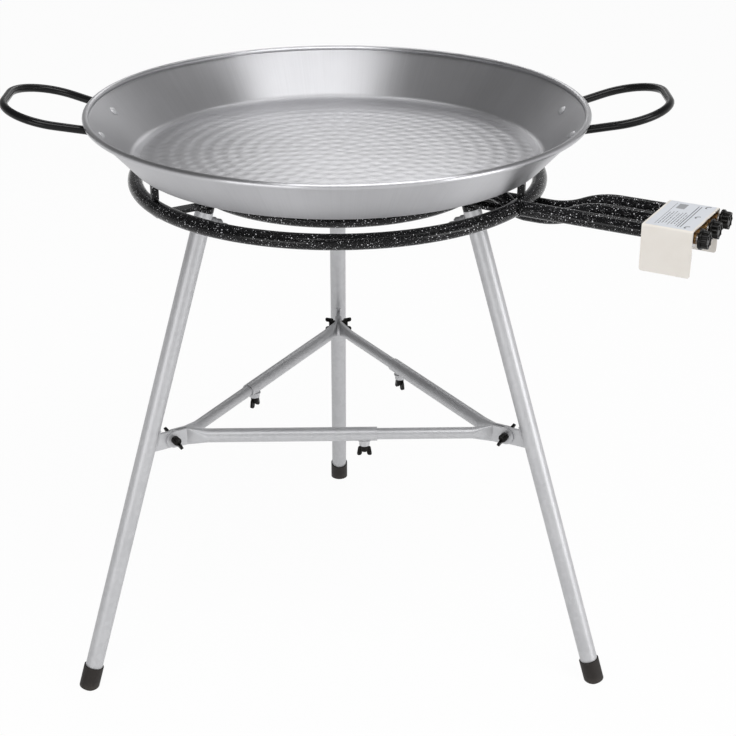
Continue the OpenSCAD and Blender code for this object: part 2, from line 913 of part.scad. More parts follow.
// Points of the pan's corner at radius r from its centre, from the base round to the wall.
function pan_corner_points(r) = [
    for (i = [0 : sweep_steps])
        let (a = pan_wall_turn * i / sweep_steps)
        [pan_corner_x + r * sin(a), pan_corner_r - r * cos(a)]
];

// End of the pan's wall at radius r from the corner's centre.
function pan_wall_end(r) = [
    pan_corner_x + r * sin(pan_wall_turn) + pan_wall_l * cos(pan_wall_turn),
    pan_corner_r - r * cos(pan_wall_turn) + pan_wall_l * sin(pan_wall_turn)
];

// Spun steel pan with a flared wall and a rolled rim.
module pan() {
    color(steel)
        difference() {
            on_axis()
                translate([0, 0, pan_z])
                    rotate_extrude() {
                        polygon(concat(
                            [[0, 0]],
                            pan_corner_points(pan_corner_r),
                            [pan_wall_end(pan_corner_r), pan_wall_end(pan_corner_r - pan_t)],
                            reversed(pan_corner_points(pan_corner_r - pan_t)),
                            [[0, pan_t]]
                        ));
                        translate(pan_wall_end(pan_corner_r))
                            circle(r = rim_r);
                    }
            for (turn = [pan_turn, pan_turn + 180], side = [-1, 1])
                on_rivet(turn, side)
                    translate([0, 0, -overrun])
                        cylinder(r = rivet_d / 2 + seat_fit, h = 2 * overrun);
        }
}

// Bent bar handle with a flattened pad at each end.
module pan_handle(turn) {
    color(enamel)
        difference() {
            union() {
                on_axis()
                    rotate([0, 0, turn])
                        translate([handle_x, 0, handle_z])
                            rotate([0, -handle_rise, 0])
                                handle_loop();
                for (side = [-1, 1])
                    on_rivet(turn, side)
                        translate([0, 0, seat_fit])
                            cylinder(d = pad_d, h = pad_t);
            }
            for (side = [-1, 1])
                on_rivet(turn, side) {
                    translate([0, 0, -overrun])
                        cylinder(r = rivet_d / 2 + seat_fit, h = pad_t + overrun - rivet_head_h / 2);
                    translate([0, 0, -pad_d])
                        cylinder(d = 2 * pad_d, h = pad_d + seat_fit);
                }
        }
}

// One side of a handle's bar, from its pad out to the grip.
function handle_side_path(side) = concat(
    [[0, side * handle_y, side * handle_flare]],
    [
        for (i = [0 : 2 * sweep_steps])
            let (a = -handle_flare + (90 + handle_flare) * i / (2 * sweep_steps))
            [corner_x + handle_corner_r * sin(a), side * (corner_y + handle_corner_r * cos(a)), -side * a]
    ]
);

function reversed(list) = [for (i = [len(list) - 1 : -1 : 0]) list[i]];

// Bar of a handle in its own plane, from pad to pad.
module handle_loop() {
    back = [for (p = reversed(handle_side_path(-1))) [p[0], p[1], p[2] + 180]];
    rotate([90, 0, 0])
        swept_bar(reversed(concat(handle_side_path(1), back)), handle_bar_r);
}

// Domed rivets through the pan's wall into the handle pads.
module handle_rivets() {
    dome_r = (rivet_head_d * rivet_head_d / 4 + rivet_head_h * rivet_head_h) / (2 * rivet_head_h);
    color(zinc)
        for (turn = [pan_turn, pan_turn + 180], side = [-1, 1])
            on_rivet(turn, side) {
                translate([0, 0, -pan_t - rivet_head_h / 2])
                    cylinder(d = rivet_d, h = pan_t + pad_t);
                translate([0, 0, -pan_t - rivet_seat])
                    rotate([180, 0, 0])
                        intersection() {
                            translate([0, 0, rivet_head_h - dome_r])
                                sphere(r = dome_r);
                            cylinder(d = rivet_head_d, h = rivet_head_h);
                        }
            }
}

// Sub-parts of the tripod

// Leg tube with the tab for the struts and the nut for its clamp screw.
module leg(k) {
    color(zinc)
        difference() {
            union() {
                on_leg(k)
                    translate([0, 0, leg_foot_end])
                        cylinder(r = leg_r, h = leg_top - leg_foot_end);
                at_station(k)
                    translate([tab_x, tab_t / 2, strut_z])
                        rotate([90, 0, 0])
                            linear_extrude(tab_t) {
                                circle(r = tab_end_r);
                                translate([0, -tab_end_r])
                                    square([tab_reach, tab_h]);
                            }
                on_leg_screw(k)
                    translate([0, 0, -leg_r - boss_h])
                        cylinder(d = boss_d, h = leg_r + boss_h);
            }
            on_leg(k)
                translate([0, 0, -overrun])
                    cylinder(r = leg_bore_r, h = leg_top + 2 * overrun);
            on_leg_screw(k)
                translate([0, 0, -leg_r - boss_h - overrun])
                    cylinder(r = screw_hole_r, h = leg_r + boss_h + overrun);
            at_station(k)
                translate([tab_x, tab_t, strut_z])
                    rotate([90, 0, 0])
                        cylinder(r = screw_hole_r, h = 2 * tab_t);
        }
}

// Rubber cap on the end of leg k, cut level with the floor.
module foot(k) {
    color(rubber)
        difference() {
            on_leg(k)
                difference() {
                    translate([0, 0, -foot_under])
                        foot_cap();
                    translate([0, 0, leg_foot_end])
                        cylinder(r = leg_r + seat_fit, h = foot_len);
                }
            at_station(k)
                translate([leg_floor_r - foot_len, -foot_len, -foot_len])
                    cube([2 * foot_len, 2 * foot_len, foot_len]);
        }
}

// Round cap with a rounded lower edge.
module foot_cap() {
    rotate_extrude() {
        translate([0, foot_round])
            square([foot_r, foot_len - foot_round]);
        square([foot_r - foot_round, foot_len]);
        translate([foot_r - foot_round, foot_round])
            circle(r = foot_round);
    }
}

// Flattened end of a strut on one side of the tab, with its taper up to a tube of radius r.
module strut_end(k, side, r) {
    difference() {
        union() {
            at_station(k)
                translate([tab_x, side * strut_side + strut_flat_t / 2, strut_z])
                    rotate([90, 0, 0])
                        linear_extrude(strut_flat_t) {
                            circle(r = tab_end_r);
                            translate([-strut_flat_len, -tab_end_r])
                                square([strut_flat_len, tab_h]);
                        }
            hull() {
                at_station(k)
                    translate([bend_x, side * strut_side - strut_flat_t / 2, strut_z - tab_end_r])
                        cube([strut_flat_t, strut_flat_t, tab_h]);
                on_strut(k, side)
                    translate([0, 0, strut_taper_len - strut_wall])
                        cylinder(r = r - seat_fit, h = strut_wall, $fn = hull_fn);
            }
        }
        at_station(k)
            translate([tab_x, joint_half + overrun, strut_z])
                rotate([90, 0, 0])
                    cylinder(r = screw_hole_r, h = 2 * (joint_half + overrun));
    }
}

// Outer strut tube on leg k with the nut for its clamp screw.
module strut_outer(k) {
    color(zinc) {
        strut_end(k, 1, strut_r);
        difference() {
            union() {
                on_strut(k, 1)
                    translate([0, 0, strut_taper_len - strut_wall])
                        cylinder(r = strut_r, h = strut_outer_len - strut_taper_len + strut_wall);
                on_strut_screw(k)
                    translate([0, 0, -strut_r - boss_h])
                        cylinder(d = boss_d, h = strut_r + boss_h);
            }
            on_strut(k, 1)
                translate([0, 0, strut_taper_len + strut_wall])
                    cylinder(r = strut_bore_r, h = strut_outer_len);
            on_strut_screw(k)
                translate([0, 0, -strut_r - boss_h - overrun])
                    cylinder(r = screw_hole_r, h = strut_r + boss_h + overrun);
        }
    }
}

// Inner strut tube on leg k, sliding in the outer tube of the leg before it.
module strut_inner(k) {
    start = strut_taper_len - strut_wall;
    color(zinc) {
        strut_end(k, -1, inner_strut_r);
        on_strut(k, -1)
            translate([0, 0, start])
                tube(inner_strut_r, inner_strut_r - strut_wall, strut_inner_len - start);
    }
}

// Wing screw in the nut at the top of leg k.
module leg_screw(k) {
    color(zinc)
        on_leg_screw(k) {
            translate([0, 0, -leg_r - boss_h - clamp_fit])
                cylinder(r = screw_r, h = leg_r + boss_h - leg_bore_r + slide_fit);
            translate([0, 0, -leg_r - boss_h - clamp_fit])
                rotate([180, 0, 90])
                    wing_grip();
        }
}

// Wing screw in the nut under strut k.
module strut_screw(k) {
    color(plastic)
        on_strut_screw(k) {
            translate([0, 0, -strut_r - boss_h - clamp_fit])
                cylinder(r = screw_r, h = strut_r + boss_h - inner_strut_r);
            translate([0, 0, -strut_r - boss_h - clamp_fit])
                rotate([180, 0, 0])
                    wing_grip();
        }
}

// Wing bolt through the tab and both strut ends on leg k.
module joint_bolt(k) {
    color(plastic)
        at_station(k)
            translate([tab_x, -joint_half - clamp_fit, strut_z])
                rotate([-90, 0, 0])
                    rotate([0, 0, -joint_wing_turn]) {
                        cylinder(r = screw_r, h = 2 * joint_half + 2 * clamp_fit + hub_h);
                        rotate([180, 0, 0])
                            wing_grip();
                    }
}

// Wing nut on the end of the wing bolt of leg k.
module joint_nut(k) {
    color(plastic)
        at_station(k)
            translate([tab_x, joint_half + clamp_fit, strut_z])
                rotate([-90, 0, 0])
                    rotate([0, 0, -joint_wing_turn])
                        difference() {
                            wing_grip();
                            translate([0, 0, -overrun])
                                cylinder(r = screw_hole_r, h = hub_h + wing_h + overrun);
                        }
}

outer_ring();
middle_ring();
inner_ring();
outer_feed_tube();
middle_feed_tube();
inner_feed_tube();
arm(0);  // arm_1
arm(1);  // arm_2
arm(2);  // arm_3
leg_stub(0);  // leg_stub_1
leg_stub(1);  // leg_stub_2
leg_stub(2);  // leg_stub_3
pan_posts();
manifold_bracket();
gas_manifold();
valve_cover();
tap_body(0);  // tap_body_1
tap_body(1);  // tap_body_2
tap_body(2);  // tap_body_3
injector(0);  // injector_1
injector(1);  // injector_2
injector(2);  // injector_3
tap_plug(0);  // tap_plug_1
tap_plug(1);  // tap_plug_2
tap_plug(2);  // tap_plug_3
tap_spindle(0);  // tap_spindle_1
tap_spindle(1);  // tap_spindle_2
tap_spindle(2);  // tap_spindle_3
knob(0);  // knob_1
knob(1);  // knob_2
knob(2);  // knob_3
pan();
pan_handle(pan_turn);  // pan_handle_right
pan_handle(pan_turn + 180);  // pan_handle_left
handle_rivets();
leg(0);  // leg_1
leg(1);  // leg_2
leg(2);  // leg_3
foot(0);  // foot_1
foot(1);  // foot_2
foot(2);  // foot_3
strut_outer(0);  // strut_outer_1
strut_outer(1);  // strut_outer_2
strut_outer(2);  // strut_outer_3
strut_inner(0);  // strut_inner_1
strut_inner(1);  // strut_inner_2
strut_inner(2);  // strut_inner_3
leg_screw(0);  // leg_screw_1
leg_screw(1);  // leg_screw_2
leg_screw(2);  // leg_screw_3
strut_screw(0);  // strut_screw_1
strut_screw(1);  // strut_screw_2
strut_screw(2);  // strut_screw_3
joint_bolt(0);  // joint_bolt_1
joint_bolt(1);  // joint_bolt_2
joint_bolt(2);  // joint_bolt_3
joint_nut(0);  // joint_nut_1
joint_nut(1);  // joint_nut_2
joint_nut(2);  // joint_nut_3
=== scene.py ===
"""Looks of a gas paella burner on its tripod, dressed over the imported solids."""

import json
import logging
import math
from collections.abc import Callable, Iterator, Sequence
from contextlib import contextmanager
from dataclasses import dataclass, field
from enum import Enum
from typing import Any

import bmesh
import bpy
from mathutils import Matrix, Vector


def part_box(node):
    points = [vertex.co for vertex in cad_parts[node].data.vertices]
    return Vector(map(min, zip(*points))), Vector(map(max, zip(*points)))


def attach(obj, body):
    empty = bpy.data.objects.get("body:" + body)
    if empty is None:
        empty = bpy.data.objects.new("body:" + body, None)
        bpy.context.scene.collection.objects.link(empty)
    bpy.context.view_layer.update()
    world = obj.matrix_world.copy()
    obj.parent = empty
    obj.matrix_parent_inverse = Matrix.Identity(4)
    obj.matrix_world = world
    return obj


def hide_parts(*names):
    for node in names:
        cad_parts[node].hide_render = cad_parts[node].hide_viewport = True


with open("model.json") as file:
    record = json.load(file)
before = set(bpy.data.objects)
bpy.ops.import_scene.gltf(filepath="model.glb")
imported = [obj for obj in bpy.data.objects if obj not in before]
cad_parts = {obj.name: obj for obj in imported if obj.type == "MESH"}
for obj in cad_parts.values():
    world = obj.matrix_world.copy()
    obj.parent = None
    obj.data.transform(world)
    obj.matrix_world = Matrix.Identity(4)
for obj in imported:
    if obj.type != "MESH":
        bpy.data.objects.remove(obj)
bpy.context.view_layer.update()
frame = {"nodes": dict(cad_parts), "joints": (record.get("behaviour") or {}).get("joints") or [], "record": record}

log = logging.getLogger("paella_burner")

Rgb = tuple[float, float, float]
Test = Callable[[Vector, Vector], bool]

ORIGIN = (0.0, 0.0, 0.0)
UP = Vector((0.0, 0.0, 1.0))
QUARTER = math.pi / 2
NUMBERS = (1, 2, 3)


class Element(Enum):
    """What a selection holds."""

    VERT = "VERT"
    EDGE = "EDGE"
    FACE = "FACE"


class Side(Enum):
    """The two sides of a piece, as a sign."""

    LEFT = 1
    RIGHT = -1


# Shader graphs


class Value:
    """A shader socket that takes part in arithmetic; each operator adds a Math node."""

    def __init__(self, graph: "Graph", socket: bpy.types.NodeSocket) -> None:
        """Wraps one output socket of a graph."""
        self.graph = graph
        self.socket = socket

    def __add__(self, other: "Value | float") -> "Value":
        """Self plus other."""
        return self.graph.math("ADD", self, other)

    def __radd__(self, other: float) -> "Value":
        """Other plus self."""
        return self.graph.math("ADD", other, self)

    def __sub__(self, other: "Value | float") -> "Value":
        """Self minus other."""
        return self.graph.math("SUBTRACT", self, other)

    def __rsub__(self, other: float) -> "Value":
        """Other minus self."""
        return self.graph.math("SUBTRACT", other, self)

    def __mul__(self, other: "Value | float") -> "Value":
        """Self times other."""
        return self.graph.math("MULTIPLY", self, other)

    def __rmul__(self, other: float) -> "Value":
        """Other times self."""
        return self.graph.math("MULTIPLY", other, self)

    def __truediv__(self, other: "Value | float") -> "Value":
        """Self over other."""
        return self.graph.math("DIVIDE", self, other)

    def __lt__(self, other: "Value | float") -> "Value":
        """One where self is below other."""
        return self.graph.math("LESS_THAN", self, other)

    def __gt__(self, other: "Value | float") -> "Value":
        """One where self is above other."""
        return self.graph.math("GREATER_THAN", self, other)

    def apply(self, operation: str, other: "Value | float" = 0.0) -> "Value":
        """Any other Math node on self.

        Args:
            operation: The Math node's operation.
            other: Its second value, where it takes one.

        Returns:
            The node's result.
        """
        return self.graph.math(operation, self, other)

    def ramp(self, low: float, high: float) -> "Value":
        """Zero up to low, one from high, smooth between them.

        Args:
            low: Where the rise starts.
            high: Where it ends.

        Returns:
            The smoothed value.
        """
        settings = {"interpolation_type": "SMOOTHSTEP"}
        sockets = {"Value": self, "From Min": low, "From Max": high}
        return self.graph.out(self.graph.node("ShaderNodeMapRange", settings, sockets), "Result")


@dataclass(frozen=True)
class Graph:
    """A node tree that is written as expressions."""

    tree: bpy.types.NodeTree

    def node(self, kind: str, settings: dict[str, Any], sockets: dict[Any, Any]) -> bpy.types.Node:
        """Adds one node.

        Args:
            kind: The node's type.
            settings: Its own settings, set first.
            sockets: Values or links of its inputs, by name or number.

        Returns:
            The node.
        """
        made = self.tree.nodes.new(kind)
        for key, value in settings.items():
            setattr(made, key, value)
        for key, value in sockets.items():
            if isinstance(value, Value):
                self.tree.links.new(value.socket, made.inputs[key])
            else:
                made.inputs[key].default_value = value
        return made

    def out(self, made: bpy.types.Node, name: str | int = 0) -> Value:
        """One output of a node as a value."""
        return Value(self, made.outputs[name])

    def math(self, operation: str, one: Value | float, two: Value | float) -> Value:
        """A Math node on two values."""
        return self.out(self.node("ShaderNodeMath", {"operation": operation}, {0: one, 1: two}))

    def place(self, centre: Sequence[float] = ORIGIN) -> Value:
        """Object coordinates, counted from a centre.

        Args:
            centre: The point that becomes the origin.

        Returns:
            The coordinates as a vector.
        """
        source = self.out(self.node("ShaderNodeTexCoord", {}, {}), "Object")
        shift = {"Vector": source, "Location": [-value for value in centre]}
        return self.out(self.node("ShaderNodeMapping", {}, shift))

    def axes(self, vector: Value) -> tuple[Value, Value, Value]:
        """The three parts of a vector."""
        made = self.node("ShaderNodeSeparateXYZ", {}, {"Vector": vector})
        return self.out(made, 0), self.out(made, 1), self.out(made, 2)

    def vector(self, x: Value | float, y: Value | float, z: Value | float) -> Value:
        """A vector from three values."""
        return self.out(self.node("ShaderNodeCombineXYZ", {}, {0: x, 1: y, 2: z}))

    def noise(self, place: Value, scale: float, detail: float = 3.0, rough: float = 0.5) -> Value:
        """Soft noise from 0 to 1.

        Args:
            place: Where to read it.
            scale: Cells per metre.
            detail: Octaves.
            rough: Share of each finer octave.

        Returns:
            The noise.
        """
        sockets = {"Vector": place, "Scale": scale, "Detail": detail, "Roughness": rough}
        return self.out(self.node("ShaderNodeTexNoise", {}, sockets), "Fac")

    def cells(self, place: Value, scale: float, channel: int) -> tuple[Value, Value]:
        """Cells of one mean size, each with a value of its own.

        Args:
            place: Where to read them.
            scale: Cells per metre.
            channel: Which part of a cell's colour gives its value.

        Returns:
            The distance from the cell's middle and the cell's value.
        """
        made = self.node("ShaderNodeTexVoronoi", {}, {"Vector": place, "Scale": scale})
        parts = self.node("ShaderNodeSeparateColor", {}, {"Color": self.out(made, "Color")})
        return self.out(made, "Distance"), self.out(parts, channel)

    def mix(self, share: Value, one: Value | Rgb, two: Value | Rgb) -> Value:
        """A colour between two colours.

        Args:
            share: How much of the second.
            one: The first colour.
            two: The second colour.

        Returns:
            The mixed colour.
        """
        ends = [value if isinstance(value, Value) else (*value, 1.0) for value in (one, two)]
        made = self.node(
            "ShaderNodeMix", {"data_type": "RGBA"}, {0: share, 6: ends[0], 7: ends[1]}
        )
        return self.out(made, 2)

    def bump(self, height: Value, depth: float, strength: float = 1.0) -> Value:
        """A normal that follows a height.

        Args:
            height: The height, about 0 to 1.
            depth: Metres for a height of one.
            strength: Share of the effect.

        Returns:
            The normal.
        """
        sockets = {"Height": height, "Distance": depth, "Strength": strength}
        return self.out(self.node("ShaderNodeBump", {}, sockets))


def blank_graph(holder: bpy.types.Material | bpy.types.World) -> Graph:
    """An empty graph on a material or a world."""
    holder.use_nodes = True
    holder.node_tree.nodes.clear()
    return Graph(holder.node_tree)


@dataclass(frozen=True)
class Finish:
    """A surface finish and the record's slot that it belongs to."""

    name: str
    slot: str

    def sockets(self, graph: Graph) -> dict[str, Any]:
        """The Principled shader's sockets for this finish.

        Args:
            graph: The material's graph.

        Returns:
            Values and links by socket name.
        """
        raise NotImplementedError

    def shader(self, graph: Graph) -> Value:
        """The finish's shader: one Principled shader with its sockets."""
        return graph.out(graph.node("ShaderNodeBsdfPrincipled", {}, self.sockets(graph)))

    def material(self) -> bpy.types.Material:
        """The finish's material, made when first asked for."""
        found = bpy.data.materials.get(self.name)
        if found is not None:
            return found
        made = bpy.data.materials.new(self.name)
        graph = blank_graph(made)
        graph.node("ShaderNodeOutputMaterial", {}, {"Surface": self.shader(graph)})
        return made


@dataclass(frozen=True)
class SpeckledEnamel(Finish):
    """Gloss black vitreous enamel with fine white specks."""

    ground: Rgb = (0.005, 0.005, 0.0055)
    speck: Rgb = (0.70, 0.70, 0.72)
    per_metre: float = 350.0
    fine_per_metre: float = 700.0
    fine_share: float = 0.4
    smallest: float = 0.10
    spread: float = 0.22
    dust_scale: float = 900.0
    wave_scale: float = 45.0
    wave_depth: float = 0.0006
    gloss: float = 0.10
    specular: float = 0.18

    def specks(self, graph: Graph, place: Value, scale: float) -> Value:
        """Specks of mixed size, one in each cell.

        Args:
            graph: The material's graph.
            place: Where to read them.
            scale: Cells per metre.

        Returns:
            One on a speck and zero beside it.
        """
        away, size = graph.cells(place, scale, 0)
        return away < self.smallest + self.spread * size * size * size

    def sockets(self, graph: Graph) -> dict[str, Any]:
        """Black glass with specks in it and a slow wave on it."""
        place = graph.place()
        coarse = self.specks(graph, place, self.per_metre)
        fine = self.specks(graph, place, self.fine_per_metre)
        dust = graph.noise(place, self.dust_scale, 1.0)
        mask = (coarse + fine * self.fine_share).apply("MINIMUM", 1.0)
        wave = graph.noise(place, self.wave_scale, 2.0)
        return {
            "Base Color": graph.mix(mask, self.ground, self.speck),
            "Roughness": self.gloss + 0.10 * wave + 0.05 * dust,
            "Normal": graph.bump(wave + 0.04 * coarse, self.wave_depth, 0.6),
            "Specular IOR Level": self.specular,
        }


@dataclass(frozen=True)
class GlossBlack(Finish):
    """Plain gloss black enamel."""

    ground: Rgb = (0.004, 0.004, 0.0045)
    rubbed: Rgb = (0.010, 0.010, 0.0105)
    peel_scale: float = 320.0
    peel_depth: float = 0.0002
    wear_scale: float = 28.0
    gloss: float = 0.14
    specular: float = 0.2

    def sockets(self, graph: Graph) -> dict[str, Any]:
        """Black with a faint orange peel and a little wear in its gloss."""
        place = graph.place()
        peel = graph.noise(place, self.peel_scale, 2.0)
        wear = graph.noise(place, self.wear_scale, 4.0)
        return {
            "Base Color": graph.mix(wear, self.ground, self.rubbed),
            "Roughness": self.gloss + 0.16 * wear,
            "Normal": graph.bump(peel, self.peel_depth, 0.5),
            "Specular IOR Level": self.specular,
        }


@dataclass(frozen=True)
class SpunSteel(Finish):
    """Satin steel of a spun pan: streaked wall, dimpled floor and bright rim."""

    centre: Rgb = ORIGIN
    floor_r: float = 0.274
    floor_edge: tuple[float, float] = (0.004, 0.006)
    rim_z: float = 0.058
    dimple: float = 0.0205
    dimple_depth: float = 0.0003
    row_shift: float = 0.37
    relief: float = 0.001
    metal: Rgb = (0.46, 0.46, 0.475)
    lift: float = 1.16
    streaks: float = 150.0
    spin_scale: float = 900.0
    cloud_scale: float = 9.0
    satin: float = 0.34
    grain: float = 0.8
    grain_turn: float = 0.25

    def dimples(self, graph: Graph, x: Value, y: Value, radius: Value) -> Value:
        """Hammered hollows in concentric rows.

        Args:
            graph: The material's graph.
            x: Distance from the pan's axis along X.
            y: The same along Y.
            radius: Distance from the pan's axis.

        Returns:
            Height of the floor, one between the hollows and zero in their middle.
        """
        row = (radius / self.dimple + 0.5).apply("FLOOR")
        count = (row * math.tau).apply("ROUND").apply("MAXIMUM", 1.0)
        turn = graph.math("ARCTAN2", y, x) / math.tau + 0.5
        step = turn * count + row * self.row_shift
        across = (step.apply("FRACT") - 0.5) * math.tau * radius / count
        along = radius - row * self.dimple
        away = (across * across + along * along).apply("SQRT") / (0.5 * self.dimple)
        return away.ramp(0.0, 1.06)

    def sockets(self, graph: Graph) -> dict[str, Any]:
        """Metal with spun streaks, hammer marks and a slow change of tone."""
        place = graph.place(self.centre)
        x, y, z = graph.axes(place)
        radius = (x * x + y * y).apply("SQRT").apply("MAXIMUM", 0.001)
        around = graph.vector(x / radius * self.streaks, y / radius * self.streaks, z * 9.0)
        streak = graph.noise(around, 1.0, 4.0)
        rows = graph.vector(radius * self.spin_scale, x * 4.0, y * 4.0)
        spin = graph.noise(rows, 1.0, 2.0)
        cloud = graph.noise(place, self.cloud_scale, 3.0)
        floor = radius < self.floor_r
        streak = streak * (1.0 - floor) + 0.5 * floor
        rim = z > self.rim_z
        height = floor * self.dimples(graph, x, y, radius) * (self.dimple_depth / self.relief)
        height = height + streak * 0.05 + spin * 0.012
        tone = (cloud * 0.6 + streak * 0.4).ramp(0.25, 0.75)
        bright = tuple(min(1.0, value * self.lift) for value in self.metal)
        rough = self.satin + 0.10 * streak + 0.05 * cloud
        return {
            "Base Color": graph.mix(tone, self.metal, bright),
            "Metallic": 1.0,
            "Roughness": rough - 0.08 * rim - 0.10 * floor,
            "Normal": graph.bump(height, self.relief),
        }

    def shader(self, graph: Graph) -> Value:
        """An even shader on the floor and one that follows the spinning lines on the wall."""
        sockets = self.sockets(graph)
        spun = {"Anisotropic": self.grain, "Anisotropic Rotation": self.grain_turn}
        floor = graph.node("ShaderNodeBsdfPrincipled", {}, sockets)
        wall = graph.node("ShaderNodeBsdfPrincipled", {}, {**sockets, **spun})
        x, y, _ = graph.axes(graph.place(self.centre))
        before, after = self.floor_edge
        radius = (x * x + y * y).apply("SQRT")
        share = radius.ramp(self.floor_r - before, self.floor_r + after)
        mixed = {0: share, 1: graph.out(floor), 2: graph.out(wall)}
        return graph.out(graph.node("ShaderNodeMixShader", {}, mixed))


@dataclass(frozen=True)
class BrightZinc(Finish):
    """Satin zinc plate on steel tube, with faint spangle and handling marks."""

    dull: Rgb = (0.47, 0.472, 0.485)
    light: Rgb = (0.545, 0.547, 0.56)
    spangle_scale: float = 160.0
    cloud_scale: float = 16.0
    grain_scale: float = 420.0
    grain_depth: float = 0.00005
    metallic: float = 0.5
    satin: float = 0.40

    def sockets(self, graph: Graph) -> dict[str, Any]:
        """Metal whose tone and gloss change from patch to patch."""
        place = graph.place()
        _, spangle = graph.cells(place, self.spangle_scale, 1)
        cloud = graph.noise(place, self.cloud_scale, 4.0, 0.6)
        grain = graph.noise(place, self.grain_scale, 3.0)
        tone = (0.3 * spangle + 0.7 * cloud).ramp(0.1, 0.9)
        return {
            "Base Color": graph.mix(tone, self.dull, self.light),
            "Metallic": self.metallic,
            "Roughness": self.satin + 0.06 * cloud + 0.03 * spangle,
            "Normal": graph.bump(grain + 0.4 * cloud, self.grain_depth, 0.5),
        }


@dataclass(frozen=True)
class TurnedBrass(Finish):
    """Machined brass, a little brown with handling."""

    bright: Rgb = (0.34, 0.21, 0.085)
    brown: Rgb = (0.12, 0.06, 0.022)
    turning_scale: float = 5200.0
    turning_depth: float = 0.00004
    cloud_scale: float = 70.0
    satin: float = 0.26

    def sockets(self, graph: Graph) -> dict[str, Any]:
        """Metal with turning marks across the tap's axis."""
        place = graph.place()
        x, _, _ = graph.axes(place)
        turning = (x * self.turning_scale).apply("SINE") * 0.5 + 0.5
        cloud = graph.noise(place, self.cloud_scale, 4.0)
        return {
            "Base Color": graph.mix(cloud.ramp(0.35, 0.75), self.bright, self.brown),
            "Metallic": 1.0,
            "Roughness": self.satin + 0.18 * cloud,
            "Normal": graph.bump(turning, self.turning_depth, 0.7),
        }


@dataclass(frozen=True)
class IvoryPaint(Finish):
    """Smooth ivory powder coat on bent sheet."""

    ground: Rgb = (0.80, 0.76, 0.705)
    thin: Rgb = (0.76, 0.715, 0.655)
    peel_scale: float = 650.0
    peel_depth: float = 0.00016
    cloud_scale: float = 22.0
    satin: float = 0.38
    coat: float = 0.15

    def sockets(self, graph: Graph) -> dict[str, Any]:
        """Paint with a fine peel and slightly warmer patches."""
        place = graph.place()
        peel = graph.noise(place, self.peel_scale, 2.0)
        cloud = graph.noise(place, self.cloud_scale, 3.0)
        return {
            "Base Color": graph.mix(cloud.ramp(0.4, 0.8), self.ground, self.thin),
            "Roughness": self.satin + 0.10 * cloud,
            "Normal": graph.bump(peel, self.peel_depth, 0.5),
            "Coat Weight": self.coat,
        }


@dataclass(frozen=True)
class FootRubber(Finish):
    """Matte black-brown rubber, dusty where it rubs."""

    ground: Rgb = (0.013, 0.010, 0.009)
    dust: Rgb = (0.055, 0.048, 0.042)
    dust_z: float = 0.016
    grain_scale: float = 800.0
    grain_depth: float = 0.00025
    cloud_scale: float = 120.0
    matt: float = 0.48
    specular: float = 0.3

    def sockets(self, graph: Graph) -> dict[str, Any]:
        """Rubber with a fine grain and dust near the floor."""
        place = graph.place()
        _, _, z = graph.axes(place)
        grain = graph.noise(place, self.grain_scale, 3.0)
        cloud = graph.noise(place, self.cloud_scale, 4.0)
        low = 1.0 - z.ramp(0.0, self.dust_z)
        return {
            "Base Color": graph.mix(cloud * (0.25 + 0.75 * low), self.ground, self.dust),
            "Roughness": self.matt + 0.25 * cloud,
            "Normal": graph.bump(grain, self.grain_depth, 0.7),
            "Specular IOR Level": self.specular,
        }


@dataclass(frozen=True)
class MouldedPlastic(Finish):
    """Black moulded plastic with a soft gloss."""

    ground: Rgb = (0.005, 0.0045, 0.004)
    worn: Rgb = (0.012, 0.011, 0.0105)
    gloss: float = 0.26
    grain_scale: float = 1400.0
    grain_depth: float = 0.00006
    cloud_scale: float = 140.0
    specular: float = 0.14

    def sockets(self, graph: Graph) -> dict[str, Any]:
        """Plastic with a fine texture and paler rubbed patches."""
        place = graph.place()
        grain = graph.noise(place, self.grain_scale, 2.0)
        cloud = graph.noise(place, self.cloud_scale, 3.0)
        return {
            "Base Color": graph.mix(cloud.ramp(0.45, 0.8), self.ground, self.worn),
            "Roughness": self.gloss + 0.14 * cloud,
            "Normal": graph.bump(grain, self.grain_depth, 0.6),
            "Specular IOR Level": self.specular,
        }


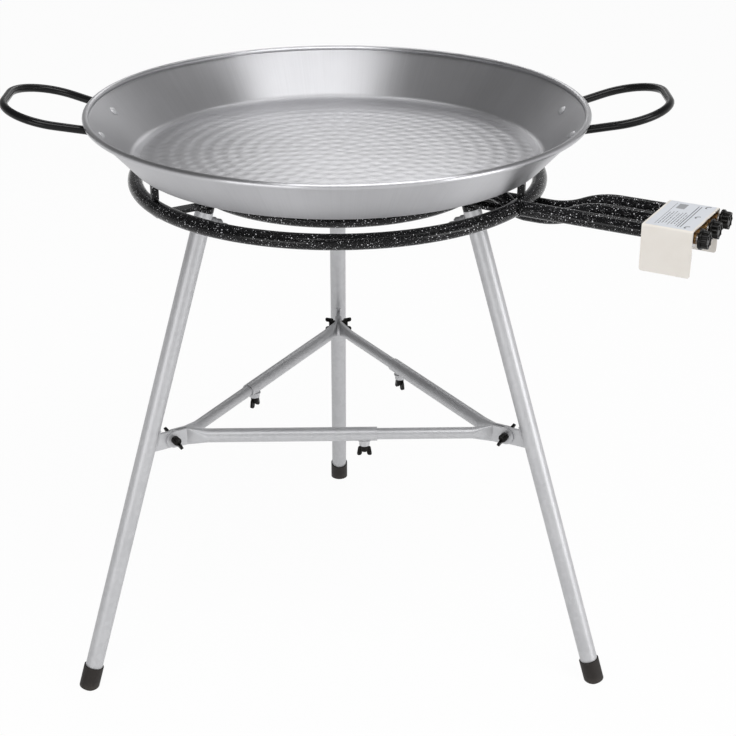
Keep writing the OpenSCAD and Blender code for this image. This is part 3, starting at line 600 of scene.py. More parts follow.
@dataclass(frozen=True)
class LabelFilm(Finish):
    """Pale silver film with plain rules, a grey block and an arc for each tap."""

    centre: Rgb = ORIGIN
    half_x: float = 0.026
    half_y: float = 0.051
    tap_pitch: float = 0.0425
    film: Rgb = (0.71, 0.735, 0.785)
    ink: Rgb = (0.06, 0.065, 0.075)
    block: Rgb = (0.30, 0.31, 0.33)
    hair_x: float = -0.66
    hair_half: float = 0.0003
    rule_x: Sequence[float] = (0.30, 0.42)
    rule_half: float = 0.0006
    rule_reach: float = 0.86
    row_x: Sequence[float] = (-0.54, -0.42, -0.30, -0.16, -0.04, 0.08, 0.20)
    row_y: float = -0.34
    row_step: float = 0.05
    row_reach: float = 0.48
    break_scale: float = 420.0
    break_share: float = 0.47
    block_at: tuple[float, float] = (-0.34, 0.66)
    block_half: tuple[float, float] = (0.0058, 0.0100)
    arc_x: float = 0.76
    arc_r: float = 0.0048
    arc_half: float = 0.0010
    arc_ends: tuple[float, float] = (0.0008, -0.0036)
    satin: float = 0.30
    coat: float = 0.3

    def band(self, value: Value, middle: float, half: float) -> Value:
        """One within half of a middle value."""
        return (value - middle).apply("ABSOLUTE") < half

    def sockets(self, graph: Graph) -> dict[str, Any]:
        """Film with its plain marks."""
        x, y, _ = graph.axes(graph.place(self.centre))
        across = self.band(y, 0.0, self.rule_reach * self.half_y)
        ink = self.band(x, self.hair_x * self.half_x, self.hair_half) * across
        for share in self.rule_x:
            ink = ink + self.band(x, share * self.half_x, self.rule_half) * across
        for row, share in enumerate(self.row_x):
            rule = self.band(x, share * self.half_x, self.rule_half)
            breaks = graph.noise(graph.vector(y * self.break_scale, row * 7.0, 0.0), 1.0, 1.0)
            start = (self.row_step * (row % 3) + self.row_y) * self.half_y
            reach = self.band(y, start, self.row_reach * self.half_y)
            ink = ink + rule * (breaks > self.break_share) * reach
        block = self.band(x, self.block_at[0] * self.half_x, self.block_half[0])
        block = block * self.band(y, self.block_at[1] * self.half_y, self.block_half[1])
        for k in (-1, 0, 1):
            dx = x - self.arc_x * self.half_x
            dy = y - k * self.tap_pitch
            away = (dx * dx + dy * dy).apply("SQRT")
            arc = self.band(away, self.arc_r, self.arc_half)
            ink = ink + arc * (dx < self.arc_ends[0]) * (dy > self.arc_ends[1])
        marked = graph.mix(ink.apply("MINIMUM", 1.0), self.film, self.ink)
        fleck = graph.noise(graph.place(), 1500.0, 1.0)
        return {
            "Base Color": graph.mix(block, marked, self.block),
            "Roughness": self.satin + 0.10 * fleck,
            "Coat Weight": self.coat,
        }


# Bench work: each step acts on what is selected, as by hand


def clear_bench() -> None:
    """Leaves edit mode and deselects everything."""
    active = bpy.context.view_layer.objects.active
    if active is not None and active.mode != "OBJECT":
        bpy.ops.object.mode_set(mode="OBJECT")
    bpy.ops.object.select_all(action="DESELECT")


def take(obj: bpy.types.Object) -> bpy.types.Object:
    """Makes one object the only selected and active one."""
    clear_bench()
    obj.select_set(True)
    bpy.context.view_layer.objects.active = obj
    return obj


def settle(obj: bpy.types.Object) -> bpy.types.Object:
    """Puts an object's place, turn and scale into its mesh."""
    take(obj)
    bpy.ops.object.transform_apply(location=True, rotation=True, scale=True)
    return obj


def fresh(add: Callable[..., set[str]], name: str, **options: Any) -> bpy.types.Object:
    """Adds a primitive to the bench, with its place in its mesh.

    Args:
        add: The operator that adds it.
        name: Its name.
        options: The operator's own options.

    Returns:
        The new object.
    """
    clear_bench()
    add(**options)
    made = bpy.context.active_object
    made.name = name
    return settle(made)


def disc(
    name: str,
    radius: float,
    sides: int,
    filled: bool,
    at: Sequence[float] = ORIGIN,
    turn: Sequence[float] = ORIGIN,
) -> bpy.types.Object:
    """Adds a circle.

    Args:
        name: Its name.
        radius: Its radius.
        sides: Its corners.
        filled: Whether it is a face or only a loop.
        at: Its middle.
        turn: Its turn about X, Y and Z.

    Returns:
        The circle.
    """
    return fresh(
        bpy.ops.mesh.primitive_circle_add,
        name,
        vertices=sides,
        radius=radius,
        fill_type="NGON" if filled else "NOTHING",
        location=at,
        rotation=turn,
    )


def rod(name: str, radius: float, length: float, mid_z: float, sides: int) -> bpy.types.Object:
    """Adds an upright cylinder on the Z axis.

    Args:
        name: Its name.
        radius: Its radius.
        length: Its length.
        mid_z: The height of its middle.
        sides: Its corners.

    Returns:
        The cylinder.
    """
    return fresh(
        bpy.ops.mesh.primitive_cylinder_add,
        name,
        vertices=sides,
        radius=radius,
        depth=length,
        location=(0.0, 0.0, mid_z),
    )


def hoop(
    name: str,
    radii: tuple[float, float],
    counts: tuple[int, int],
    at: Sequence[float] = ORIGIN,
    turn: Sequence[float] = ORIGIN,
) -> bpy.types.Object:
    """Adds a torus.

    Args:
        name: Its name.
        radii: Radius of its centre line and of its section.
        counts: Segments along it and round its section.
        at: Its middle.
        turn: Its turn about X, Y and Z.

    Returns:
        The torus.
    """
    return fresh(
        bpy.ops.mesh.primitive_torus_add,
        name,
        major_radius=radii[0],
        minor_radius=radii[1],
        major_segments=counts[0],
        minor_segments=counts[1],
        location=at,
        rotation=turn,
    )


def slab(name: str, size: Sequence[float], at: Sequence[float]) -> bpy.types.Object:
    """Adds a box by its size and its middle."""
    return fresh(bpy.ops.mesh.primitive_cube_add, name, size=1.0, scale=size, location=at)


@contextmanager
def editing(obj: bpy.types.Object) -> Iterator[None]:
    """Edit mode on one object, with everything selected at the start."""
    take(obj)
    bpy.ops.object.mode_set(mode="EDIT")
    bpy.ops.mesh.select_all(action="SELECT")
    yield
    bpy.ops.object.mode_set(mode="OBJECT")


def pick(obj: bpy.types.Object, kind: Element, test: Test) -> None:
    """Selects what passes a test, in edit mode.

    Args:
        obj: The object in edit mode.
        kind: What to select.
        test: Takes an element's middle and its normal, or an edge's direction.
    """
    bpy.ops.mesh.select_mode(type=kind.value)
    bpy.ops.mesh.select_all(action="DESELECT")
    shape = bmesh.from_edit_mesh(obj.data)
    if kind is Element.VERT:
        for vert in shape.verts:
            vert.select_set(test(vert.co, vert.normal))
    elif kind is Element.EDGE:
        for edge in shape.edges:
            one, two = (vert.co for vert in edge.verts)
            edge.select_set(test((one + two) / 2, (two - one).normalized()))
    else:
        for face in shape.faces:
            face.select_set(test(face.calc_center_median(), face.normal))
    shape.select_flush_mode()
    bmesh.update_edit_mesh(obj.data)


def faces_up(_: Vector, normal: Vector) -> bool:
    """Whether a face points up."""
    return normal.z > 0.9


def is_level(way: Vector) -> bool:
    """Whether an edge's direction is level."""
    return abs(way.z) < 0.1


def ease(obj: bpy.types.Object, test: Test, offset: float, segments: int) -> None:
    """Rounds the edges that pass a test, in edit mode.

    Args:
        obj: The object in edit mode.
        test: Takes an edge's middle and direction.
        offset: The rounding's width.
        segments: Its steps.
    """
    pick(obj, Element.EDGE, test)
    bpy.ops.mesh.bevel(offset=offset, segments=segments)


def draw_out(move: Sequence[float]) -> None:
    """Extrudes the selection along a move."""
    bpy.ops.mesh.extrude_region_move(TRANSFORM_OT_translate={"value": tuple(move)})


def bend(angle: float, centre: Sequence[float], axis: Sequence[float], steps: int) -> None:
    """Spins the selected loop round a centre, by the right-hand rule about an axis.

    Args:
        angle: The bend in radians.
        centre: A point on the axis.
        axis: The axis.
        steps: Sections along the bend.
    """
    bpy.ops.mesh.spin(steps=steps, angle=-angle, center=tuple(centre), axis=tuple(axis))


def close_up(obj: bpy.types.Object) -> None:
    """Merges doubles, drops faces without area and points every face outwards."""
    with editing(obj):
        bpy.ops.mesh.remove_doubles(threshold=2e-6)
        bpy.ops.mesh.dissolve_degenerate(threshold=1e-6)
        bpy.ops.mesh.normals_make_consistent(inside=False)


def smooth(obj: bpy.types.Object, degrees: float = 35.0) -> bpy.types.Object:
    """Smooth shading up to an angle."""
    take(obj)
    bpy.ops.object.shade_smooth_by_angle(angle=math.radians(degrees))
    return obj


def applied(obj: bpy.types.Object, kind: str, **settings: Any) -> None:
    """Adds a modifier to an object and applies it.

    Args:
        obj: The object.
        kind: The modifier's type.
        settings: Its own settings.
    """
    take(obj)
    made = obj.modifiers.new(kind.lower(), kind)
    for key, value in settings.items():
        setattr(made, key, value)
    bpy.ops.object.modifier_apply(modifier=made.name)


def thicken(obj: bpy.types.Object, wall: float, offset: float) -> None:
    """Gives an open skin a wall; offset is the wall's side, from -1 to 1."""
    applied(obj, "SOLIDIFY", thickness=wall, offset=offset)


def joined(parts: Sequence[bpy.types.Object], name: str) -> bpy.types.Object:
    """Joins objects into one.

    Args:
        parts: The objects; the first one gives the active object.
        name: The name of the result.

    Returns:
        The joined object.
    """
    take(parts[0])
    for part in parts[1:]:
        part.select_set(True)
    if len(parts) > 1:
        bpy.ops.object.join()
    parts[0].name = name
    return parts[0]


def copied(master: bpy.types.Object, name: str, matrix: Matrix) -> bpy.types.Object:
    """Copies a finished piece to a place, with a mesh of its own.

    Args:
        master: The piece to copy.
        name: The copy's name.
        matrix: Where the copy goes.

    Returns:
        The copy, settled.
    """
    take(master)
    bpy.ops.object.duplicate(linked=False)
    made = bpy.context.active_object
    made.name = name
    made.matrix_world = matrix
    return settle(made)


def scrap(*masters: bpy.types.Object) -> None:
    """Deletes masters once their copies stand."""
    for master in masters:
        take(master)
        bpy.ops.object.delete()


def paint(obj: bpy.types.Object, finish: Finish) -> bpy.types.Object:
    """Gives an object one finish all over."""
    obj.data.materials.clear()
    obj.data.materials.append(finish.material())
    return obj


def dress(nodes: Sequence[str], finish: Finish) -> None:
    """Gives solids of the frame a finish."""
    for name in nodes:
        paint(frame["nodes"][name], finish)


def fit(obj: bpy.types.Object, body: str, stands_for: Sequence[str] = ()) -> None:
    """Lets a finished piece ride on its body.

    Args:
        obj: The piece.
        body: The body's name.
        stands_for: Solids that it takes the place of.
    """
    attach(obj, body)
    if stands_for:
        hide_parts(*stands_for)
    log.info("%s rides on %s, %d faces", obj.name, body, len(obj.data.polygons))


def mount(
    obj: bpy.types.Object, finish: Finish, body: str, stands_for: Sequence[str] = ()
) -> None:
    """Paints a piece with one finish and lets it ride on its body.

    Args:
        obj: The piece.
        finish: Its finish.
        body: The body's name.
        stands_for: Solids that it takes the place of.
    """
    fit(paint(obj, finish), body, stands_for)


def numbered(*parts: str) -> list[str]:
    """The names of the three solids of each kind."""
    return [f"{part}_{i}" for part in parts for i in NUMBERS]


def along(origin: Vector, axis: Vector, across: Vector) -> Matrix:
    """A frame with +Z along an axis and +X near a second direction.

    Args:
        origin: The frame's origin.
        axis: Its +Z.
        across: What its +X leans to.

    Returns:
        The frame's matrix.
    """
    up = axis.normalized()
    side = (across - up * across.dot(up)).normalized()
    matrix = Matrix((side, up.cross(side), up)).transposed().to_4x4()
    matrix.translation = origin
    return matrix


def joint_line(name: str) -> tuple[Vector, Vector]:
    """The place of a joint of the record, or the origin for a slide, and its axis."""
    found = next(joint for joint in frame["joints"] if joint["name"] == name)
    return Vector(found.get("pos_m", ORIGIN)), Vector(found["axis"])


def middle(node: str) -> Vector:
    """The middle of a solid's box."""
    low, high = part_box(node)
    return (low + high) / 2


ENAMEL = SpeckledEnamel("speckled_enamel", "enamel")
HANDLE_BLACK = GlossBlack("handle_gloss_black", "handle_enamel")
ZINC = BrightZinc("bright_zinc", "zinc")
BRASS = TurnedBrass("turned_brass", "brass")
IVORY = IvoryPaint("ivory_powder_coat", "ivory_paint")
RUBBER = FootRubber("foot_rubber", "rubber")
PLASTIC = MouldedPlastic("wing_plastic", "black_plastic")
KNOB_PLASTIC = MouldedPlastic("knob_plastic", "black_plastic", gloss=0.14)


@dataclass
class WeldBead:
    """A rippled run of weld, laid along +Y from its middle."""

    length: float
    radius: float = 0.0017
    ripple: float = 0.0022
    swell: float = 1.18
    end_share: float = 0.45
    sides: int = 10

    def build(self, name: str) -> bpy.types.Object:
        """Models the run at the origin.

        Args:
            name: The piece's name.

        Returns:
            The run.
        """
        start = (0.0, -self.length / 2, 0.0)
        end_r = self.radius * self.end_share
        obj = disc(name, end_r, self.sides, True, start, (QUARTER, 0.0, 0.0))
        count = max(4, round(self.length / self.ripple))
        step = self.length / count
        with editing(obj):
            draw_out((0.0, step * 0.5, 0.0))
            bpy.ops.transform.resize(value=(2.0, 1.0, 2.0))
            for i in range(count - 1):
                grow = self.swell if i % 2 else 1 / self.swell
                draw_out((0.0, step, 0.0))
                bpy.ops.transform.resize(value=(grow, 1.0, grow))
            draw_out((0.0, step * 0.5, 0.0))
            bpy.ops.transform.resize(value=(0.5, 1.0, 0.5))
        close_up(obj)
        return smooth(obj, 60.0)


@dataclass
class Burner:
    """Rings, feed tubes, arms, stubs and posts in speckled enamel."""

    axis_x: float = 0.0
    ring_z: float = 0.7125
    ring_tube_r: float = 0.0105
    ring_wall: float = 0.002
    ring_steps: int = 240
    port_r: float = 0.0013
    port_pitch: float = 0.036
    port_lean: float = math.radians(25.0)
    port_sides: int = 14
    outer_r: float = 0.283
    middle_r: float = 0.200
    inner_r: float = 0.105
    feed_r: float = 0.010
    feed_wall: float = 0.002
    feed_y: float = 0.025
    feed_pitch: float = 0.0425
    mouth_x: float = 0.478
    dip_r: float = 0.120
    rise_r: float = 0.045
    dip_gap: float = 0.0015
    pass_gap: float = 0.0025
    lead: float = 0.002
    bead_r: float = 0.0019
    bead_off: float = 0.0002
    bead_swell: tuple[float, float] = (0.94, 1.12)
    bead_steps: int = 48
    bead_sides: int = 10
    arm_top_z: float = 0.7035
    arm_w: float = 0.018
    arm_run: float = 0.84
    arm_run_off: float = 0.0066
    arm_run_lift: float = 0.0006
    post_t: float = 0.005
    post_run: float = 0.008
    post_run_r: float = 0.0013
    post_run_in: float = 0.002
    post_run_off: float = 0.0008
    tube_sides: int = 40
    bend_steps: int = 12
    stations: Sequence[float] = (0.0, math.tau / 3, 2 * math.tau / 3)

    def tap_y(self, k: int) -> float:
        """The place of feed tube k across the tubes."""
        return self.feed_y + (k - 1) * self.feed_pitch

    def saddle_x(self, ring: float, y: float, z: float) -> float:
        """Where a line along +X leaves a ring.

        Args:
            ring: Radius of the ring's centre line.
            y: The line's place across.
            z: Its height over the ring's plane.

        Returns:
            The distance from the burner's axis along X.
        """
        out = math.sqrt(max(0.0, self.ring_tube_r**2 - z * z))
        return math.sqrt((ring + out) ** 2 - y * y)

    def drilled_ring(self, name: str, ring: float) -> bpy.types.Object:
        """A hollow ring with its row of flame ports, which lean to the burner's axis.

        Args:
            name: The piece's name.
            ring: Radius of the ring's centre line.

        Returns:
            The ring.
        """
        centre = (self.axis_x, 0.0, self.ring_z)
        tube_r = self.ring_tube_r
        obj = hoop(name, (ring, tube_r), (self.ring_steps, self.tube_sides), centre)
        thicken(obj, self.ring_wall, -1.0)
        drill = rod("port_drill", self.port_r, tube_r * 0.6, tube_r * 0.9, self.port_sides)
        count = int(math.tau * ring / self.port_pitch)
        hub = Matrix.Translation(centre)
        lean = Matrix.Translation((ring, 0.0, 0.0)) @ Matrix.Rotation(-self.port_lean, 4, "Y")
        turns = [Matrix.Rotation((i + 0.5) * math.tau / count, 4, "Z") for i in range(count)]
        ports = joined([copied(drill, "port", hub @ turn @ lean) for turn in turns], "ports")
        applied(obj, "BOOLEAN", operation="DIFFERENCE", solver="EXACT", object=ports)
        scrap(drill, ports)
        return smooth(obj, 40.0)

    def dipped_tube(self, name: str, ring: float, k: int) -> bpy.types.Object:
        """A feed tube that dips under the outer ring and rises to its own.

        Args:
            name: The piece's name.
            ring: Radius of its ring's centre line.
            k: Its number, from 0.

        Returns:
            The tube.
        """
        y = self.tap_y(k)
        drop = self.ring_tube_r + self.dip_gap + self.feed_r
        meet_x = math.sqrt(ring * ring - y * y)
        end_x = meet_x + 0.6 * self.ring_tube_r
        dip_x = self.outer_r + self.ring_tube_r + self.pass_gap
        rise_x = meet_x + 2 * self.ring_tube_r + self.lead
        mouth = (self.axis_x + self.mouth_x, y, self.ring_z)
        obj = disc(name, self.feed_r, self.tube_sides, False, mouth, (0.0, QUARTER, 0.0))
        at = self.mouth_x
        with editing(obj):
            for low_x, radius, way in ((dip_x, self.dip_r, 1.0), (rise_x, self.rise_r, -1.0)):
                turn = math.acos(1 - drop / (2 * radius))
                run = radius * math.sin(turn)
                draw_out((low_x + 2 * run - at, 0.0, 0.0))
                x = self.axis_x + low_x + 2 * run
                z = self.ring_z if way > 0 else self.ring_z - drop
                bend(turn, (x, y, z - way * radius), (0.0, -way, 0.0), self.bend_steps)
                x, z = self.axis_x + low_x, z - way * drop
                bend(turn, (x, y, z + way * radius), (0.0, way, 0.0), self.bend_steps)
                at = low_x
            draw_out((end_x - at, 0.0, 0.0))
        close_up(obj)
        thicken(obj, self.feed_wall, -1.0)
        return smooth(obj, 45.0)

    def saddle_weld(self, name: str, ring: float, k: int) -> bpy.types.Object:
        """The bead where a feed tube meets its ring.

        Args:
            name: The piece's name.
            ring: Radius of the ring's centre line.
            k: The tube's number, from 0.

        Returns:
            The bead.
        """
        y0, count = self.tap_y(k), self.bead_steps
        radii = (self.feed_r + self.bead_off, self.bead_r)
        centre = (self.axis_x, y0, self.ring_z)
        obj = hoop(name, radii, (count, self.bead_sides), centre, (0.0, QUARTER, 0.0))
        with editing(obj):
            for i in range(count):
                angle = i * math.tau / count
                y, z = self.feed_r * math.cos(angle), self.feed_r * math.sin(angle)
                side = Vector((0.0, math.cos(angle), math.sin(angle)))

                def on_segment(co: Vector, _: Vector, side: Vector = side) -> bool:
                    """Whether a vertex belongs to this segment of the bead."""
                    off = Vector((0.0, co.y - y0, co.z - self.ring_z)).normalized()
                    return off.dot(side) > math.cos(math.pi / count)

                pick(obj, Element.VERT, on_segment)
                shift = self.saddle_x(ring, y0 + y, z) + self.bead_off
                bpy.ops.transform.resize(value=(self.bead_swell[i % 2], 1.0, 1.0))
                bpy.ops.transform.translate(value=(shift, 0.0, 0.0))
        close_up(obj)
        return smooth(obj, 60.0)

    def arm_welds(self) -> bpy.types.Object:
        """The runs that hold the rings on the arms and the posts on the outer ring."""
        run = WeldBead(self.arm_w * self.arm_run).build("ring_run")
        short = WeldBead(self.post_run, self.post_run_r).build("post_run")
        runs = [(self.outer_r, Side.RIGHT)]
        runs += [(ring, side) for ring in (self.middle_r, self.inner_r) for side in Side]
        quarter = Matrix.Rotation(QUARTER, 4, "Z")
        parts = []
        for angle in self.stations:
            turn = Matrix.Translation((self.axis_x, 0.0, 0.0)) @ Matrix.Rotation(angle, 4, "Z")
            for ring, side in runs:
                out = ring + side.value * self.arm_run_off
                at = Matrix.Translation((out, 0.0, self.arm_top_z + self.arm_run_lift))
                parts.append(copied(run, "arm_weld", turn @ at))
            for side in Side:
                off = side.value * (self.post_t / 2 + self.post_run_off)
                spot = (self.outer_r - self.post_run_in, off, self.ring_z + self.ring_tube_r)
                at = Matrix.Translation(spot) @ quarter
                parts.append(copied(short, "post_weld", turn @ at))
        scrap(run, short)
        return joined(parts, "ring_welds")

    def build(self) -> None:
        """Models rings, bent tubes and welds, and dresses the solids."""
        self.axis_x = middle("outer_ring").x
        rings = [("outer", self.outer_r), ("middle", self.middle_r), ("inner", self.inner_r)]
        for k, (name, ring) in enumerate(rings):
            drilled = self.drilled_ring(f"drilled_{name}_ring", ring)
            mount(drilled, ENAMEL, "burner", [f"{name}_ring"])
            mount(self.saddle_weld(f"{name}_saddle_weld", ring, k), ENAMEL, "burner")
        for k, (name, ring) in enumerate(rings[1:], 1):
            tube = self.dipped_tube(f"{name}_bent_feed_tube", ring, k)
            mount(tube, ENAMEL, "burner", [f"{name}_feed_tube"])
        mount(self.arm_welds(), ENAMEL, "burner")
        solids = ["outer_feed_tube", "pan_posts", "manifold_bracket"]
        dress([*solids, *numbered("arm", "leg_stub")], ENAMEL)


@dataclass
class GasTrain:
    """Taps, knobs, manifold and the sheet cover with its film."""

    knob_r: float = 0.012
    knob_l: float = 0.012
    skirt_r: float = 0.0135
    skirt_l: float = 0.004
    flutes: int = 8
    flute_in: float = 0.002
    flute_r: float = 0.005
    face_inset: float = 0.0022
    face_drop: float = 0.0009
    edge_r: float = 0.0094
    grip_round: float = 0.0009
    skirt_round: float = 0.0008
    rib: tuple[float, float, float] = (0.0016, 0.0085, 0.0016)
    rib_y: float = 0.0045
    rib_sink: float = 0.0008
    rib_round: float = 0.0004
    film_t: float = 0.0002
    film_margin: float = 0.003
    film_corner: float = 0.002
    inlet_r: float = 0.010
    inlet_l: float = 0.014
    thread_pitch: float = 0.0018
    thread_share: float = 0.36
    thread_sink: float = 0.0001
    thread_low: float = 0.0012
    thread_end: float = 0.003
    thread_steps: int = 36
    sides: int = 64

    def flute_share(self, angle: float) -> float:
        """How far a flute draws in the grip at an angle.

        Args:
            angle: The angle from the nearest flute's middle.

        Returns:
            The share of the grip's radius that stays.
        """
        hub = self.knob_r + self.flute_r - self.flute_in
        reach = hub * math.sin(angle)
        if abs(reach) >= self.flute_r:
            return 1.0
        left = hub * math.cos(angle) - math.sqrt(self.flute_r**2 - reach * reach)
        return min(1.0, left / self.knob_r)

    def knob(self) -> bpy.types.Object:
        """Models one knob at the origin, with its face to +Z.

        Returns:
            The knob.
        """
        grip = rod("knob_grip", self.knob_r, self.knob_l, self.knob_l / 2, self.sides)
        top = self.knob_l - 1e-5
        pitch = math.tau / self.flutes
        with editing(grip):
            for i in range(self.sides // self.flutes // 2 + 1):
                off = i * math.tau / self.sides

                def in_class(co: Vector, _: Vector, off: float = off) -> bool:
                    """Whether a vertex lies this far from a flute's middle."""
                    turn = (math.atan2(co.y, co.x) / pitch - 0.5) % 1.0
                    return abs(min(turn, 1.0 - turn) * pitch - off) < 0.01

                share = self.flute_share(off)
                if share < 1.0:
                    pick(grip, Element.VERT, in_class)
                    bpy.ops.transform.resize(value=(share, share, 1.0))
            pick(grip, Element.FACE, faces_up)
            bpy.ops.mesh.inset(thickness=self.face_inset)
            draw_out((0.0, 0.0, -self.face_drop))

            def on_edge(co: Vector, _: Vector) -> bool:
                """Whether an edge lies on the rim of the knob's face."""
                return co.z > top and math.hypot(co.x, co.y) > self.edge_r

            ease(grip, on_edge, self.grip_round, 3)
        skirt = rod("knob_skirt", self.skirt_r, self.skirt_l, self.skirt_l / 2, self.sides)
        with editing(skirt):
            ease(skirt, lambda _, way: is_level(way), self.skirt_round, 3)
        rib = slab("knob_rib", self.rib, (0.0, self.rib_y, self.knob_l - self.rib_sink))
        with editing(rib):
            bpy.ops.mesh.bevel(offset=self.rib_round, segments=2)
        master = joined([grip, skirt, rib], "knob_master")
        close_up(master)
        return smooth(master, 32.0)

    def inlet_thread(self) -> bpy.types.Object:
        """Models the ridge of the thread on the gas inlet.

        Returns:
            The ridge.
        """
        low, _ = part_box("gas_manifold")
        inlet = next(m for m in frame["record"]["mounts"] if m["name"] == "gas_inlet")
        x, y = inlet["pos_m"][:2]
        ridge_r = self.thread_pitch * self.thread_share
        start = (self.inlet_r - self.thread_sink, 0.0, 0.0)
        obj = disc("inlet_thread", ridge_r, 4, False, start, (QUARTER, 0.0, 0.0))
        applied(
            obj,
            "SCREW",
            angle=math.tau,
            screw_offset=self.thread_pitch,
            iterations=int((self.inlet_l - self.thread_end) / self.thread_pitch),
            steps=self.thread_steps,
            render_steps=self.thread_steps,
        )
        with editing(obj):
            bpy.ops.mesh.remove_doubles(threshold=1e-6)
            bpy.ops.mesh.select_all(action="DESELECT")
            bpy.ops.mesh.select_non_manifold()
            bpy.ops.mesh.fill()
            bpy.ops.mesh.select_all(action="SELECT")
            bpy.ops.mesh.normals_make_consistent(inside=False)
            bpy.ops.transform.translate(value=(x, y, low.z + self.thread_low))
        return smooth(obj, 40.0)

    def film(self) -> tuple[bpy.types.Object, Finish]:
        """Models the film on top of the cover.

        Returns:
            The film and its finish.
        """
        low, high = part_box("valve_cover")
        half_x = (high.x - low.x) / 2 - self.film_margin
        half_y = (high.y - low.y) / 2 - self.film_margin
        centre = ((low.x + high.x) / 2, (low.y + high.y) / 2, high.z + self.film_t / 2)
        obj = fresh(bpy.ops.mesh.primitive_plane_add, "cover_film", size=1.0, location=centre)
        with editing(obj):
            bpy.ops.transform.resize(value=(2 * half_x, 2 * half_y, 1.0))
            bpy.ops.mesh.bevel(offset=self.film_corner, segments=4, affect="VERTICES")
        thicken(obj, self.film_t, 0.0)
        finish = LabelFilm("silver_film", "ivory_paint", centre, half_x, half_y)
        return smooth(obj, 30.0), finish

    def build(self) -> None:
        """Models knobs, thread and film, and dresses the solids."""
        master = self.knob()
        for name in numbered("knob"):
            low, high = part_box(name)
            seat = Vector((low.x, (low.y + high.y) / 2, (low.z + high.z) / 2))
            matrix = along(seat, Vector((1.0, 0.0, 0.0)), Vector((0.0, 1.0, 0.0)))
            mount(copied(master, f"fluted_{name}", matrix), KNOB_PLASTIC, name, [name])
        scrap(master)
        mount(self.inlet_thread(), ZINC, "burner")
        film, finish = self.film()
        mount(film, finish, "burner")
        dress(["valve_cover"], IVORY)
        dress(["gas_manifold", *numbered("tap_spindle")], ZINC)
        dress(numbered("tap_body", "tap_plug", "injector"), BRASS)


